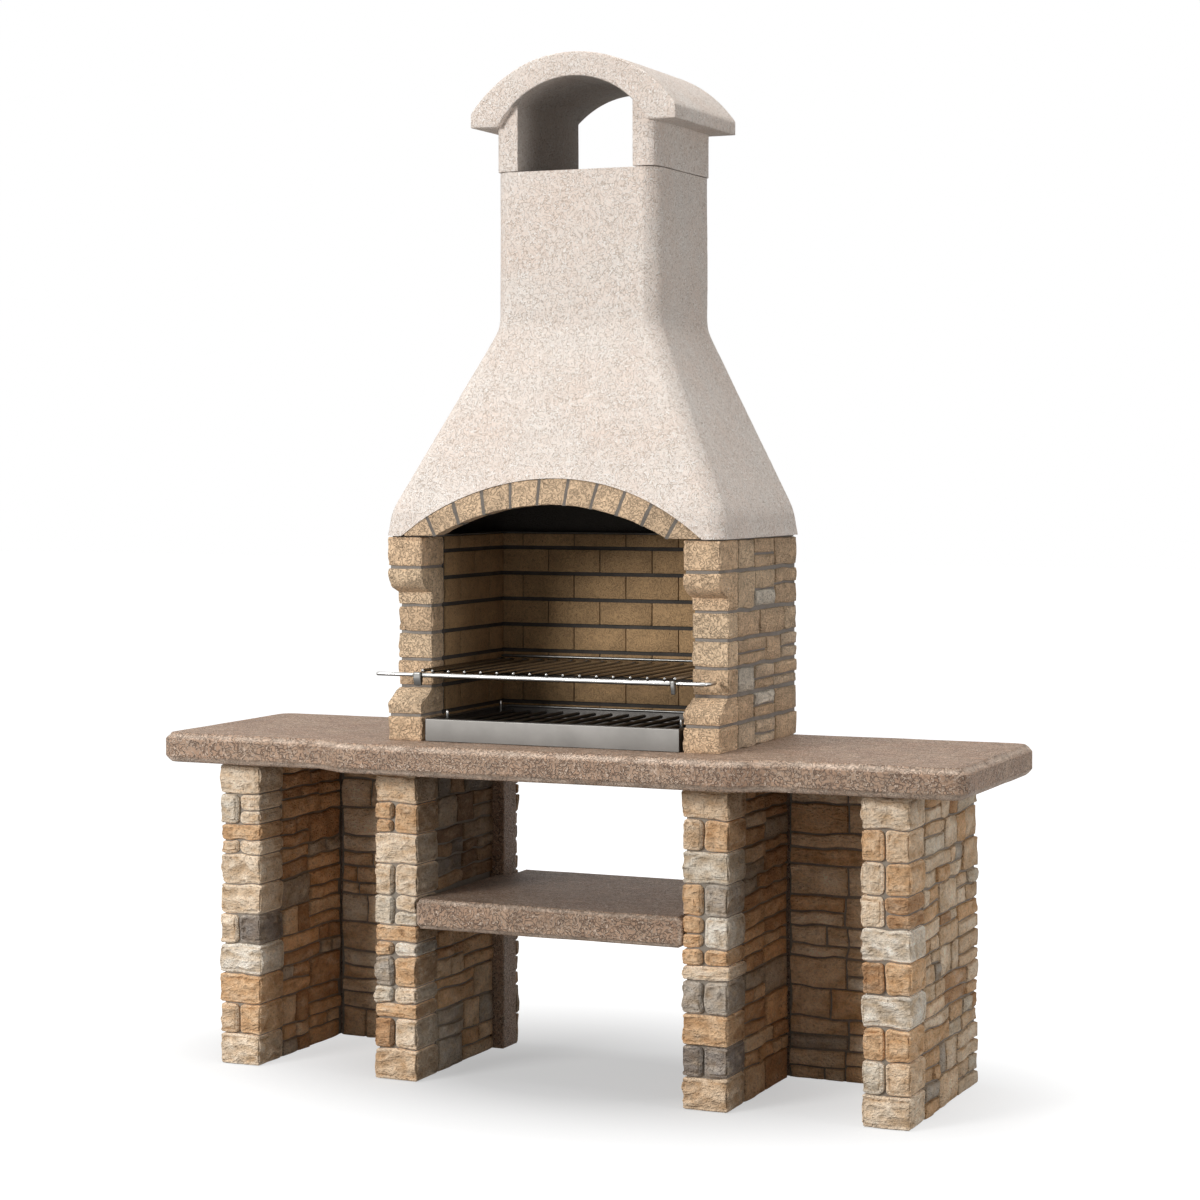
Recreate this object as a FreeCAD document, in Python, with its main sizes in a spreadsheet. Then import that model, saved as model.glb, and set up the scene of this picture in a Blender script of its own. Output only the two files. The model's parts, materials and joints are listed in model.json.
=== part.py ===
import FreeCAD, Part
import math
import os
import PartDesign
import Sketcher

# Masonry garden barbecue: stone-faced legs and back panels carry a cast worktop, a brick firebox stands
# on the worktop, and a cast hood with a vaulted chimney cap stands on the firebox.
# Millimetres. X runs to the right, Y to the back, Z up. The origin is on the floor, under the middle of
# the worktop.

SIZES = {
    # worktop
    "worktop_length": 1924, "worktop_depth": 620, "worktop_thick": 68, "worktop_bed": 6,
    "wing_setback": 48, "bow_width": 935, "bow_run": 70, "bow_round": 55,
    "worktop_corner": 32, "worktop_arris": 11,
    # legs and back panels
    "leg_courses": 10, "leg_course": 69, "leg_thick": 106, "leg_setback": 105, "leg_back_gap": 10,
    "end_overhang": 132, "centre_bay": 640, "quoin_depth": 104, "quoin_arris": 6,
    "stone_thick": 16, "stone_joint": 5, "stone_length": 128, "stone_arris": 4, "mortar_recess": 8,
    "panel_thick": 72, "panel_back_gap": 48, "panel_return": 26, "panel_stone_length": 140,
    "rear_margin": 12,
    # shelf
    "shelf_courses": 5, "shelf_thick": 68, "shelf_overhang": 10, "shelf_back_gap": 6,
    "shelf_fit": 0.5, "shelf_arris": 9,
    # firebox
    "fire_pitch": 61, "fire_joint": 9, "plain_blocks": 3, "corbel_course": 88, "top_block": 62,
    "fire_width": 632, "back_wall": 70, "fire_setback": 120, "fire_back_gap": 4,
    "pier_width": 85, "pier_depth": 110, "pier_step": 53, "pier_arris": 5, "slope_rise": 30,
    "half_brick": 30, "corbel_band": 14,
    "lining_thick": 16, "brick_length": 130, "cheek_stone_length": 128,
    # hood, arch and cap
    "hood_bed": 4, "hood_overhang": 12, "hood_setback": 110, "skirt_height": 55, "skirt_flare": 6,
    "slope_height": 416, "shaft_width": 400, "shaft_setback": 252, "shaft_back_gap": 26,
    "shaft_height": 351, "hood_wall": 44, "hood_round": 32,
    "arch_inset": 37, "arch_rise": 71, "arch_crown": 59, "extrados_overrun": 46,
    "voussoirs": 9, "arch_joint": 9, "arch_recess": 3,
    "cap_opening": 280, "cap_wall_height": 101, "eave_width": 504, "eave_thick": 32,
    "cap_rise": 131, "cap_crown": 57, "soffit_span": 366, "cap_overhang": 17,
    # ember tray and grate
    "run_gap": 0.3, "tray_side_gap": 10, "tray_height": 49, "tray_back_gap": 14, "tray_sheet": 3,
    "grate_rod": 8, "grate_side_gap": 30, "grate_bars": 14, "grate_margin": 20, "grate_level": 33,
    "cross_inset": 46.5, "grate_post_height": 62, "weld_gap": 0.2,
    # cooking grill
    "rail_rod": 12, "rail_level": 149, "rail_setback": 105, "grill_bar": 7, "grill_side_gap": 24,
    "grill_bars": 15, "grill_back_gap": 22, "side_rod": 8, "side_gap": 8,
    "left_clip_width": 18, "right_clip_width": 9, "right_clip_inset": 13, "clip_depth": 15, "clip_drop": 24,
    "handle_rod": 9, "left_handle_length": 92, "right_handle_length": 71, "handle_return": 56,
    "peg_rod": 8, "peg_reach": 18,
}

# The quoins of each leg from the top course down. F is one block, S two side by side, L a tall block
# beside a pair on the right, R a tall block beside a pair on the left, T one over two, U two over one.
QUOIN_COURSES = {
    "left_outer_leg": "FLTFFSFFSF",
    "left_inner_leg": "FRFSLTSUSF",
    "right_inner_leg": "FSFSRUSFSF",
    "right_outer_leg": "FSSLFSFSSF",
}
# Stone lengths along a course as shares, the steps through them from course to course and from stone to
# stone, how often a stone is split in two, and the share of a split stone below or left of the split
STONE_RHYTHM = (1.0, 1.3, 0.8, 1.15, 0.7)
COURSE_STEP = 2
STONE_STEP = 3
SPLIT_EVERY = 4
SPLIT_SHARE = 0.46
BOND_SHARE = 0.5
# Points closer than this count as the same place
SAME_PLACE = 1e-3


class Size:
    """A length that knows its number and the sheet expression that gives it."""

    def __init__(self, value, text):
        self.value = value
        self.text = text

    def combine(self, other, symbol, value):
        text = other.text if isinstance(other, Size) else repr(other)
        return Size(value, f"({self.text} {symbol} {text})")

    def __float__(self):
        return float(self.value)

    def __neg__(self):
        return Size(-self.value, f"(-1 * {self.text})")

    def __add__(self, other):
        return self.combine(other, "+", self.value + float(other))

    def __sub__(self, other):
        return self.combine(other, "-", self.value - float(other))

    def __mul__(self, other):
        return self.combine(other, "*", self.value * float(other))

    def __truediv__(self, other):
        return self.combine(other, "/", self.value / float(other))


os.makedirs("parts", exist_ok=True)
doc = FreeCAD.newDocument("garden_barbecue")
sheet = doc.addObject("Spreadsheet::Sheet", "dim")
for row, (alias, number) in enumerate(SIZES.items(), start=1):
    sheet.set(f"A{row}", alias)
    sheet.set(f"B{row}", str(number))
    sheet.setAlias(f"B{row}", alias)
doc.recompute()
d = {alias: Size(float(sheet.get(alias)), f"dim.{alias}") for alias in SIZES}
nodes = []


def keep(part, label):
    """List a document object as a sub-part that gets a file of its own."""
    part.Label = label
    nodes.append(part)
    return part


def circle_radius(span, rise):
    """Radius of the arc over a chord of this span with this rise."""
    return (span * span / 4 + rise * rise) / (rise * 2)


# Levels and planes that several pieces share
floor = Size(0.0, "0")
back = d["worktop_depth"] / 2
front = -back
half_length = d["worktop_length"] / 2
leg_height = d["leg_courses"] * d["leg_course"]
worktop_under = leg_height + d["worktop_bed"]
worktop_top = worktop_under + d["worktop_thick"]
leg_front = front + d["leg_setback"]
leg_back = back - d["leg_back_gap"]
quoin_end = leg_front + d["quoin_depth"]
outer_leg_out = half_length - d["end_overhang"]
outer_leg_in = outer_leg_out - d["leg_thick"]
inner_leg_in = d["centre_bay"] / 2
inner_leg_out = inner_leg_in + d["leg_thick"]
panel_back = back - d["panel_back_gap"]
panel_front = panel_back - d["panel_thick"]
panel_end = inner_leg_in - d["panel_return"]
shelf_under = d["shelf_courses"] * d["leg_course"]
fire_front = front + d["fire_setback"]
fire_back = back - d["fire_back_gap"]
pier_front = fire_front + d["pier_step"]
pier_end = fire_front + d["pier_depth"]
pier_in = d["fire_width"] / 2
pier_out = pier_in + d["pier_width"]
lining_face = fire_back - d["back_wall"]
sloped_level = worktop_top + d["fire_pitch"]
plain_level = sloped_level + d["fire_pitch"]
corbel_level = plain_level + d["plain_blocks"] * d["fire_pitch"]
top_level = corbel_level + d["corbel_course"]
firebox_top = top_level + d["top_block"]
hood_under = firebox_top + d["hood_bed"]
skirt_top = hood_under + d["skirt_height"]
shaft_under = skirt_top + d["slope_height"]
shaft_top = shaft_under + d["shaft_height"]
hood_front = front + d["hood_setback"]
# The cut for the arch runs from a wall thickness before the hood's face to two behind it
notch_start = hood_front - d["hood_wall"]
notch_depth = d["hood_wall"] * 3
arch_span = d["fire_width"] - d["arch_inset"] * 2
extrados_span = d["fire_width"] + d["extrados_overrun"] * 2
shaft_front = front + d["shaft_setback"]
shaft_back = back - d["shaft_back_gap"]
eave_under = shaft_top + d["cap_wall_height"]
eave_top = eave_under + d["eave_thick"]
cap_apex = eave_top + d["cap_rise"]
tray_floor = worktop_top + d["run_gap"]
tray_half = d["fire_width"] / 2 - d["tray_side_gap"]
tray_back = lining_face - d["tray_back_gap"]


def box(name, x, y, z):
    """A block between two planes on each axis."""
    solid = doc.addObject("Part::Box", name)
    for side, axis, (low, high) in (("Length", "x", x), ("Width", "y", y), ("Height", "z", z)):
        solid.setExpression(side, (high - low).text)
        solid.setExpression(f"Placement.Base.{axis}", low.text)
    return solid


def rod(name, axis, diameter, start, length):
    """A round bar along X, Y or Z from its start point."""
    solid = doc.addObject("Part::Cylinder", name)
    turn = {"x": ((0, 1, 0), 90), "y": ((1, 0, 0), -90), "z": ((0, 0, 1), 0)}[axis]
    solid.Placement = FreeCAD.Placement(FreeCAD.Vector(), FreeCAD.Rotation(FreeCAD.Vector(*turn[0]), turn[1]))
    solid.setExpression("Radius", (diameter / 2).text)
    solid.setExpression("Height", length.text)
    for name_of_axis, place in zip("xyz", start):
        solid.setExpression(f"Placement.Base.{name_of_axis}", place.text)
    return solid


def group(label, solids):
    """Separate solids that share one node."""
    bundle = doc.addObject("Part::Compound", label)
    bundle.Links = solids
    return keep(bundle, label)


def mirrored(side, low, high):
    """The X planes of a piece on the right, side 1, or of its mirror image on the left, side -1."""
    return (low, high) if side > 0 else (-high, -low)


def new_sketch(body, name, role, offset):
    """A sketch on one of the body's own planes, moved along that plane's normal."""
    sketch = body.newObject("Sketcher::SketchObject", name)
    plane = [item for item in body.Origin.OriginFeatures if item.Role == role][0]
    sketch.AttachmentSupport = [(plane, "")]
    sketch.MapMode = "FlatFace"
    sketch.setExpression("AttachmentOffset.Base.z", offset.text)
    return sketch


def pin_point(sketch, segment, end, point):
    """Fix a sketch point by its distances from the origin."""
    for kind, place, axis in (("DistanceX", point[0], -2), ("DistanceY", point[1], -1)):
        if abs(float(place)) < SAME_PLACE:
            sketch.addConstraint(Sketcher.Constraint("PointOnObject", segment, end, axis))
        else:
            index = sketch.addConstraint(Sketcher.Constraint(kind, -1, 1, segment, end, float(place)))
            sketch.setExpression(f"Constraints[{index}]", place.text)


def draw_profile(sketch, points, arcs=None):
    """A closed outline of lines, with arcs as {segment: (radius, 1 to bulge left or -1 right)}."""
    arcs = arcs or {}
    flat = [FreeCAD.Vector(float(x), float(y), 0) for x, y in points]
    ends = []
    for index, start in enumerate(flat):
        stop = flat[(index + 1) % len(flat)]
        if index not in arcs:
            segment = sketch.addGeometry(Part.LineSegment(start, stop))
            ends.append((segment, 1, 2))
            continue
        radius, side = arcs[index]
        chord = stop - start
        left = FreeCAD.Vector(-chord.y, chord.x, 0).normalize()
        height = math.sqrt(float(radius) ** 2 - (chord.Length / 2) ** 2)
        centre = (start + stop) * 0.5 - left * (side * height)
        first, last = (stop, start) if side > 0 else (start, stop)
        begin = math.atan2(first.y - centre.y, first.x - centre.x)
        finish = math.atan2(last.y - centre.y, last.x - centre.x)
        finish += 2 * math.pi if finish < begin else 0
        circle = Part.Circle(centre, FreeCAD.Vector(0, 0, 1), float(radius))
        segment = sketch.addGeometry(Part.ArcOfCircle(circle, begin, finish))
        ends.append((segment, 2, 1) if side > 0 else (segment, 1, 2))
    for index, (segment, head, tail) in enumerate(ends):
        following, next_head = ends[(index + 1) % len(ends)][:2]
        sketch.addConstraint(Sketcher.Constraint("Coincident", segment, tail, following, next_head))
        pin_point(sketch, segment, head, points[index])
    for index, (radius, side) in arcs.items():
        bend = sketch.addConstraint(Sketcher.Constraint("Radius", ends[index][0], float(radius)))
        sketch.setExpression(f"Constraints[{bend}]", radius.text)
    return sketch


def pad(body, name, sketch, length):
    """A pad along the sketch's normal."""
    feature = body.newObject("PartDesign::Pad", name)
    feature.Profile = sketch
    feature.setExpression("Length", length.text)
    doc.recompute()
    return feature


def edges_where(shape, test):
    """Names of the edges that pass a test on their two end points."""
    names = []
    for index, edge in enumerate(shape.Edges, start=1):
        points = [vertex.Point for vertex in edge.Vertexes]
        if len(points) == 2 and test(*points):
            names.append(f"Edge{index}")
    return names


def dress(body, kind, name, base, edges, size):
    """A PartDesign fillet or chamfer on named edges."""
    feature = body.newObject(f"PartDesign::{kind}", name)
    feature.Base = (base, edges)
    feature.setExpression("Radius" if kind == "Fillet" else "Size", size.text)
    doc.recompute()
    return feature


def upright_at(x, y):
    """Test for the vertical edges that stand at one of the points given."""
    places = [(float(a), float(b)) for a, b in zip(x, y)]

    def test(start, stop):
        upright = abs(start.x - stop.x) + abs(start.y - stop.y) < SAME_PLACE
        return upright and any(abs(start.x - a) + abs(start.y - b) < SAME_PLACE for a, b in places)

    return test


def level_at(*heights):
    """Test for the edges that lie flat at one of the heights given."""

    def test(start, stop):
        return any(max(abs(start.z - float(level)), abs(stop.z - float(level))) < SAME_PLACE
                   for level in heights)

    return test


def polyhedron(bottom, top):
    """A closed solid between two rings of four points."""
    rings = [bottom[::-1], top]
    rings += [[bottom[i], bottom[(i + 1) % 4], top[(i + 1) % 4], top[i]] for i in range(4)]
    faces = [Part.Face(Part.makePolygon(ring + ring[:1])) for ring in rings]
    return Part.Solid(Part.Shell(faces))


def ring_of(frame, run, level, out, inset=0.0):
    """Four corners of a rectangle on a wall: along the wall, up it, and out from its core."""
    corner, along, outward = frame
    up = FreeCAD.Vector(0, 0, 1)
    corners = ((run[0] + inset, level[0] + inset), (run[1] - inset, level[0] + inset),
               (run[1] - inset, level[1] - inset), (run[0] + inset, level[1] - inset))
    ring = [corner + along * a + up * b + outward * out for a, b in corners]
    return ring if along.cross(up).dot(outward) > 0 else ring[::-1]


def bedded_stone(frame, run, level, thick, arris):
    """A stone that tapers from its bed on the core to its face."""
    return polyhedron(ring_of(frame, run, level, 0), ring_of(frame, run, level, thick, arris))


def wall_frame(corner_x, corner_y, along, outward):
    """The start of a wall's run at the floor, its direction and the way it faces."""
    corner = FreeCAD.Vector(float(corner_x), float(corner_y), 0)
    return corner, FreeCAD.Vector(*along), FreeCAD.Vector(*outward)


def stone_wall(frame, length, levels, stone_length, thick, arris, shift=0):
    """Coursed stones on one face of a core: uneven lengths, and some courses split in two."""
    joint = float(d["stone_joint"])
    stones = []
    for course, (low, high) in enumerate(levels):
        count = max(1, round(float(length) / float(stone_length)))
        beats = [course * COURSE_STEP + place * STONE_STEP + shift for place in range(count)]
        weights = [STONE_RHYTHM[beat % len(STONE_RHYTHM)] for beat in beats]
        start = 0.0
        for place, weight in enumerate(weights):
            stop = start + float(length) * weight / sum(weights)
            run = (start + joint / 2, stop - joint / 2)
            middle = low + (high - low) * SPLIT_SHARE
            split = (course * STONE_STEP + place * COURSE_STEP + shift) % SPLIT_EVERY == 1
            rows = [(low, middle - joint / 2), (middle + joint / 2, high)] if split else [(low, high)]
            stones += [bedded_stone(frame, run, row, float(thick), float(arris)) for row in rows]
            start = stop
    return stones


def solids_node(label, solids):
    """A node whose solids come from a rule over courses."""
    node = doc.addObject("Part::Feature", label)
    node.Shape = Part.makeCompound(solids)
    return keep(node, label)


# Courses of the legs: the first stands on the floor, the rest on a joint
leg_levels = []
for course in range(int(float(d["leg_courses"]))):
    base_of_course = course * float(d["leg_course"])
    lift = float(d["stone_joint"]) if course else 0.0
    leg_levels.append((base_of_course + lift, base_of_course + float(d["leg_course"])))
housing = int(float(d["shelf_courses"]))
shelf_side_levels = [level for course, level in enumerate(leg_levels) if course != housing]


def hewn_block(x, y, z):
    """A quoin with a bevelled rim round its front face."""
    arris = float(d["quoin_arris"])
    rim = FreeCAD.Vector(x[0], y[0] + arris, z[0])
    body = Part.makeBox(x[1] - x[0], y[1] - y[0] - arris, z[1] - z[0], rim)
    frame = wall_frame(x[0], y[0] + arris, (1, 0, 0), (0, -1, 0))
    width = (0.0, x[1] - x[0])
    nose = polyhedron(ring_of(frame, width, z, 0), ring_of(frame, width, z, arris, arris))
    return body.fuse(nose).removeSplitter().Solids[0]


def quoins(label, low, high):
    """The blocks that end a leg at the front, course by course from the floor."""
    joint = float(d["stone_joint"])
    x0, x1 = float(low), float(high)
    y = (float(leg_front), float(quoin_end))
    blocks = []
    for kind, (z0, z1) in zip(QUOIN_COURSES[label][::-1], leg_levels):
        xm = x0 + (x1 - x0) * SPLIT_SHARE
        zm = z0 + (z1 - z0) * SPLIT_SHARE
        left, right, full = (x0, xm - joint / 2), (xm + joint / 2, x1), (x0, x1)
        lower, upper, tall = (z0, zm - joint / 2), (zm + joint / 2, z1), (z0, z1)
        layout = {"F": [(full, tall)], "S": [(left, tall), (right, tall)],
                  "L": [(left, tall), (right, lower), (right, upper)],
                  "R": [(right, tall), (left, lower), (left, upper)],
                  "T": [(full, upper), (left, lower), (right, lower)],
                  "U": [(full, lower), (left, upper), (right, upper)]}
        blocks += [hewn_block(x, y, z) for x, z in layout[kind]]
    return solids_node(f"{label}_quoins", blocks)


def leg_stones(label, side, low, high, is_inner):
    """The facing of a leg's two long sides, behind the quoins."""
    thick, joint = d["stone_thick"], d["stone_joint"]
    run_start = quoin_end + joint / 2
    bay_run = panel_front - thick - run_start
    far_run = (panel_front if is_inner else leg_back) - run_start
    bay_is_high = is_inner
    walls = []
    for is_high in (False, True):
        in_bay = is_high == bay_is_high
        core_face = (high - thick if is_high else low + thick) * side
        frame = wall_frame(core_face, run_start, (0, 1, 0), (side if is_high else -side, 0, 0))
        levels = shelf_side_levels if is_inner and not in_bay else leg_levels
        walls += stone_wall(frame, bay_run if in_bay else far_run, levels, d["stone_length"], thick,
                            d["stone_arris"], shift=int(is_high) + 2 * int(is_inner) + (side > 0))
    return solids_node(f"{label}_stones", walls)


def leg(name, side, low, high, is_inner):
    """One leg: concrete core, stone facing and front quoins."""
    label = f"{'right' if side > 0 else 'left'}_{name}_leg"
    thick = d["stone_thick"]
    core_x = mirrored(side, low + thick, high - thick)
    core_y = (quoin_end, panel_front if is_inner else leg_back)
    keep(box(f"{label}_core", core_x, core_y, (floor, leg_height)), f"{label}_core")
    quoins(label, *mirrored(side, low, high))
    leg_stones(label, side, low, high, is_inner)


def leg_beds():
    """Mortar beds between the quoins, set back from their faces."""
    recess, joint = float(d["mortar_recess"]), float(d["stone_joint"])
    beds = []
    for side in (-1, 1):
        for low, high in ((inner_leg_in, inner_leg_out), (outer_leg_in, outer_leg_out)):
            x = [float(plane) for plane in mirrored(side, low, high)]
            length = float(quoin_end - leg_front) - recess
            for z0, z1 in leg_levels[1:]:
                corner = FreeCAD.Vector(x[0] + recess, float(leg_front) + recess, z0 - joint)
                beds.append(Part.makeBox(x[1] - x[0] - 2 * recess, length, joint, corner))
    return solids_node("leg_bed_mortar", beds)


def back_panel(side):
    """A panel across the back of a side bay, stone-faced on both sides, with a plain end."""
    label = f"{'right' if side > 0 else 'left'}_back_panel"
    thick = d["stone_thick"]
    core_end = outer_leg_in + thick
    keep(box(f"{label}_core", mirrored(side, panel_end, core_end), (panel_front, panel_back),
             (floor, leg_height)), f"{label}_core")
    joint = d["stone_joint"]
    face_start = inner_leg_out + joint / 2
    facing = wall_frame(face_start * side, panel_front, (side, 0, 0), (0, -1, 0))
    rear_start = panel_end + d["rear_margin"]
    rear = wall_frame(rear_start * side, panel_back, (side, 0, 0), (0, 1, 0))
    stones = stone_wall(facing, outer_leg_in - joint / 2 - face_start, leg_levels, d["panel_stone_length"],
                        thick, d["stone_arris"], shift=1 + (side > 0))
    stones += stone_wall(rear, core_end - rear_start, leg_levels, d["panel_stone_length"], thick,
                         d["stone_arris"], shift=3 - (side > 0))
    solids_node(f"{label}_stones", stones)


def worktop_beds():
    """Mortar beds between the legs and panels and the worktop."""
    recess, thick = d["mortar_recess"], d["stone_thick"]
    z = (leg_height, worktop_under)
    pads = []
    for side in (-1, 1):
        for name, low, high, stop in (("inner", inner_leg_in, inner_leg_out, panel_front),
                                      ("outer", outer_leg_in, outer_leg_out, leg_back - recess)):
            x = mirrored(side, low + recess, high - recess)
            pads.append(box(f"{name}_leg_bed_{side}", x, (leg_front + recess, stop), z))
        x = mirrored(side, panel_end + recess, outer_leg_in + recess)
        pads.append(box(f"panel_bed_{side}", x, (panel_front, panel_back), z))
    return group("worktop_bed_mortar", pads)


def worktop():
    """Cast slab with a bowed centre, eased corners and bevelled edges."""
    body = doc.addObject("PartDesign::Body", "worktop")
    bow = d["bow_width"] / 2
    wing = front + d["wing_setback"]
    shoulder = bow + d["bow_run"]
    outline = [(-half_length, back), (-half_length, wing), (-shoulder, wing), (-bow, front),
               (bow, front), (shoulder, wing), (half_length, wing), (half_length, back)]
    sketch = draw_profile(new_sketch(body, "worktop_outline", "XY_Plane", worktop_under), outline)
    slab = pad(body, "worktop_slab", sketch, d["worktop_thick"])
    waves = edges_where(slab.Shape, upright_at((-shoulder, -bow, bow, shoulder), (wing, front, front, wing)))
    waved = dress(body, "Fillet", "worktop_bow", slab, waves, d["bow_round"])
    corners = edges_where(waved.Shape, upright_at((-half_length, half_length) * 2, (wing, wing, back, back)))
    eased = dress(body, "Fillet", "worktop_corners", waved, corners, d["worktop_corner"])
    rims = edges_where(eased.Shape, level_at(worktop_under, worktop_top))
    dress(body, "Chamfer", "worktop_edges", eased, rims, d["worktop_arris"])
    return keep(body, "worktop")


def shelf():
    """Cast shelf whose ends are let into the facing of the inner legs and rest on a course of it."""
    body = doc.addObject("PartDesign::Body", "lower_shelf")
    fit = d["shelf_fit"]
    mouth = inner_leg_in - fit
    tongue = inner_leg_in + d["stone_thick"] - fit
    waist = panel_end - fit
    y0 = leg_front - d["shelf_overhang"]
    y1 = quoin_end + d["stone_joint"]
    y2 = panel_front - fit
    y3 = back - d["shelf_back_gap"]
    right = [(mouth, y0), (mouth, y1), (tongue, y1), (tongue, y2), (waist, y2), (waist, y3)]
    outline = right + [(-x, y) for x, y in right[::-1]]
    sketch = draw_profile(new_sketch(body, "shelf_outline", "XY_Plane", shelf_under), outline)
    slab = pad(body, "shelf_slab", sketch, d["shelf_thick"])

    def on_front(start, stop):
        flat = abs(start.z - stop.z) < SAME_PLACE
        return flat and abs(start.y - float(y0)) + abs(stop.y - float(y0)) < SAME_PLACE

    dress(body, "Chamfer", "shelf_edges", slab, edges_where(slab.Shape, on_front), d["shelf_arris"])
    return keep(body, "lower_shelf")


def pier_block(label, side, profile, arcs=None):
    """A pier block: a side profile carried across the width of the pier, with its front edges eased."""
    body = doc.addObject("PartDesign::Body", label)
    low, high = mirrored(side, pier_in, pier_out)
    sketch = draw_profile(new_sketch(body, f"{label}_profile", "YZ_Plane", low), profile, arcs)
    block = pad(body, f"{label}_pad", sketch, high - low)

    def front_upright(start, stop):
        upright = abs(start.x - stop.x) + abs(start.y - stop.y) < SAME_PLACE
        return upright and start.y < float(pier_front) + SAME_PLACE

    edges = edges_where(block.Shape, front_upright)
    dress(body, "Chamfer", f"{label}_edges", block, edges, d["pier_arris"])
    return body


def oblong(y, z):
    """The corners of an upright rectangle seen from the side."""
    return [(y[0], z[0]), (y[1], z[0]), (y[1], z[1]), (y[0], z[1])]


def pier(side):
    """One front pier of the firebox: base, sloped block, plain blocks, corbel and top block."""
    hand = "right" if side > 0 else "left"
    height = d["fire_pitch"] - d["fire_joint"]
    wide, narrow = (fire_front, pier_end), (pier_front, pier_end)
    base_profile = oblong(wide, (worktop_top, worktop_top + height))
    keep(pier_block(f"{hand}_pier_base", side, base_profile), f"{hand}_pier_base_block")
    z0, z1 = sloped_level, sloped_level + height
    slope = [(fire_front, z0), (pier_end, z0), (pier_end, z1), (pier_front, z1),
             (fire_front, z1 - d["slope_rise"])]
    keep(pier_block(f"{hand}_pier_sloped", side, slope), f"{hand}_pier_sloped_block")
    plain = []
    for index in range(int(float(d["plain_blocks"]))):
        z0 = plain_level + d["fire_pitch"] * index
        plain.append(pier_block(f"{hand}_pier_plain_{index}", side, oblong(narrow, (z0, z0 + height))))
    group(f"{hand}_pier_plain_blocks", plain)
    z0, z1 = corbel_level, top_level - d["fire_joint"]
    shoulder, band = z0 + d["half_brick"], z1 - d["corbel_band"]
    corbel = [(pier_front, z0), (pier_end, z0), (pier_end, z1), (fire_front, z1), (fire_front, band),
              (pier_front, shoulder)]
    cove = {4: (d["pier_step"], -1)}
    keep(pier_block(f"{hand}_pier_corbel", side, corbel, cove), f"{hand}_pier_corbel_block")
    cap_profile = oblong(wide, (top_level, firebox_top))
    keep(pier_block(f"{hand}_pier_top", side, cap_profile), f"{hand}_pier_top_block")


def pier_beds():
    """Mortar beds between the pier blocks, set back from their faces."""
    recess, joint = d["mortar_recess"], d["fire_joint"]
    plain_tops = [plain_level + d["fire_pitch"] * index for index in range(int(float(d["plain_blocks"])))]
    beds_at = [(sloped_level, fire_front)] + [(level, pier_front) for level in plain_tops]
    beds_at += [(corbel_level, pier_front), (top_level, fire_front)]
    pads = []
    for side in (-1, 1):
        x = mirrored(side, pier_in + recess, pier_out - recess)
        for index, (level, face) in enumerate(beds_at):
            pads.append(box(f"pier_bed_{side}_{index}", x, (face + recess, pier_end), (level - joint, level)))
    return group("pier_bed_mortar", pads)


def cheek(side):
    """One side wall of the firebox behind its pier: core, outer stones and inner fire bricks."""
    hand = "right" if side > 0 else "left"
    thick, lining, joint = d["stone_thick"], d["lining_thick"], d["fire_joint"]
    core_x = mirrored(side, pier_in + lining, pier_out - thick)
    keep(box(f"{hand}_cheek_core", core_x, (pier_end, fire_back), (worktop_top, firebox_top)),
         f"{hand}_cheek_core")
    run_start = pier_end + d["stone_joint"] / 2
    outer = wall_frame((pier_out - thick) * side, run_start, (0, 1, 0), (side, 0, 0))
    stones = stone_wall(outer, fire_back - run_start, fire_levels, d["cheek_stone_length"], thick,
                        d["stone_arris"], shift=1 - side)
    solids_node(f"{hand}_cheek_stones", stones)
    inner = wall_frame((pier_in + lining) * side, pier_end + joint, (0, 1, 0), (-side, 0, 0))
    solids_node(f"{hand}_lining_bricks", brick_wall(inner, lining_face - pier_end - joint))


# Courses of the firebox outside, from the worktop up
fire_bounds = [worktop_top, sloped_level]
fire_bounds += [plain_level + d["fire_pitch"] * index for index in range(int(float(d["plain_blocks"])))]
fire_bounds += [corbel_level, top_level, firebox_top + d["fire_joint"]]
fire_levels = [(float(low), float(high - d["fire_joint"])) for low, high in zip(fire_bounds, fire_bounds[1:])]


def brick_wall(frame, length):
    """Fire bricks in running bond, with open bed joints, up to the top of the firebox."""
    joint, pitch = float(d["fire_joint"]), float(d["fire_pitch"])
    low, stop_level = float(worktop_top), float(firebox_top)
    count = max(1, round(float(length) / float(d["brick_length"])))
    step = float(length) / count
    bricks = []
    course = 0
    while low < stop_level - joint:
        shift = BOND_SHARE * step if course % 2 else 0.0
        cuts = [0.0] + [shift + step * place for place in range(1 - (shift > 0), count)] + [float(length)]
        level = (low, min(low + pitch - joint, stop_level))
        for start, stop in zip(cuts, cuts[1:]):
            run = (start + (joint / 2 if start else 0), stop - (joint / 2 if stop < float(length) else 0))
            bricks.append(bedded_stone(frame, run, level, float(d["lining_thick"]), 0.0))
        low += pitch
        course += 1
    return bricks


def firebox_back():
    """The back wall of the firebox: core and fire bricks between the two cheeks."""
    lining = d["lining_thick"]
    inner = pier_in + lining
    core_y = (lining_face + lining, fire_back)
    keep(box("back_wall_core", (-inner, inner), core_y, (worktop_top, firebox_top)), "back_wall_core")
    frame = wall_frame(-inner, lining_face + lining, (1, 0, 0), (0, -1, 0))
    solids_node("back_lining_bricks", brick_wall(frame, inner * 2))


def hood_beds():
    """Mortar beds between the firebox and the hood."""
    recess, z = d["mortar_recess"], (firebox_top, hood_under)
    pads = []
    for side in (-1, 1):
        x = mirrored(side, pier_in + recess, pier_out - recess)
        pads.append(box(f"cheek_bed_{side}", x, (fire_front + recess, fire_back - recess), z))
    inner = pier_in + recess
    pads.append(box("back_bed", (-inner, inner), (lining_face + recess, fire_back - recess), z))
    return group("hood_bed_mortar", pads)


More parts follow.
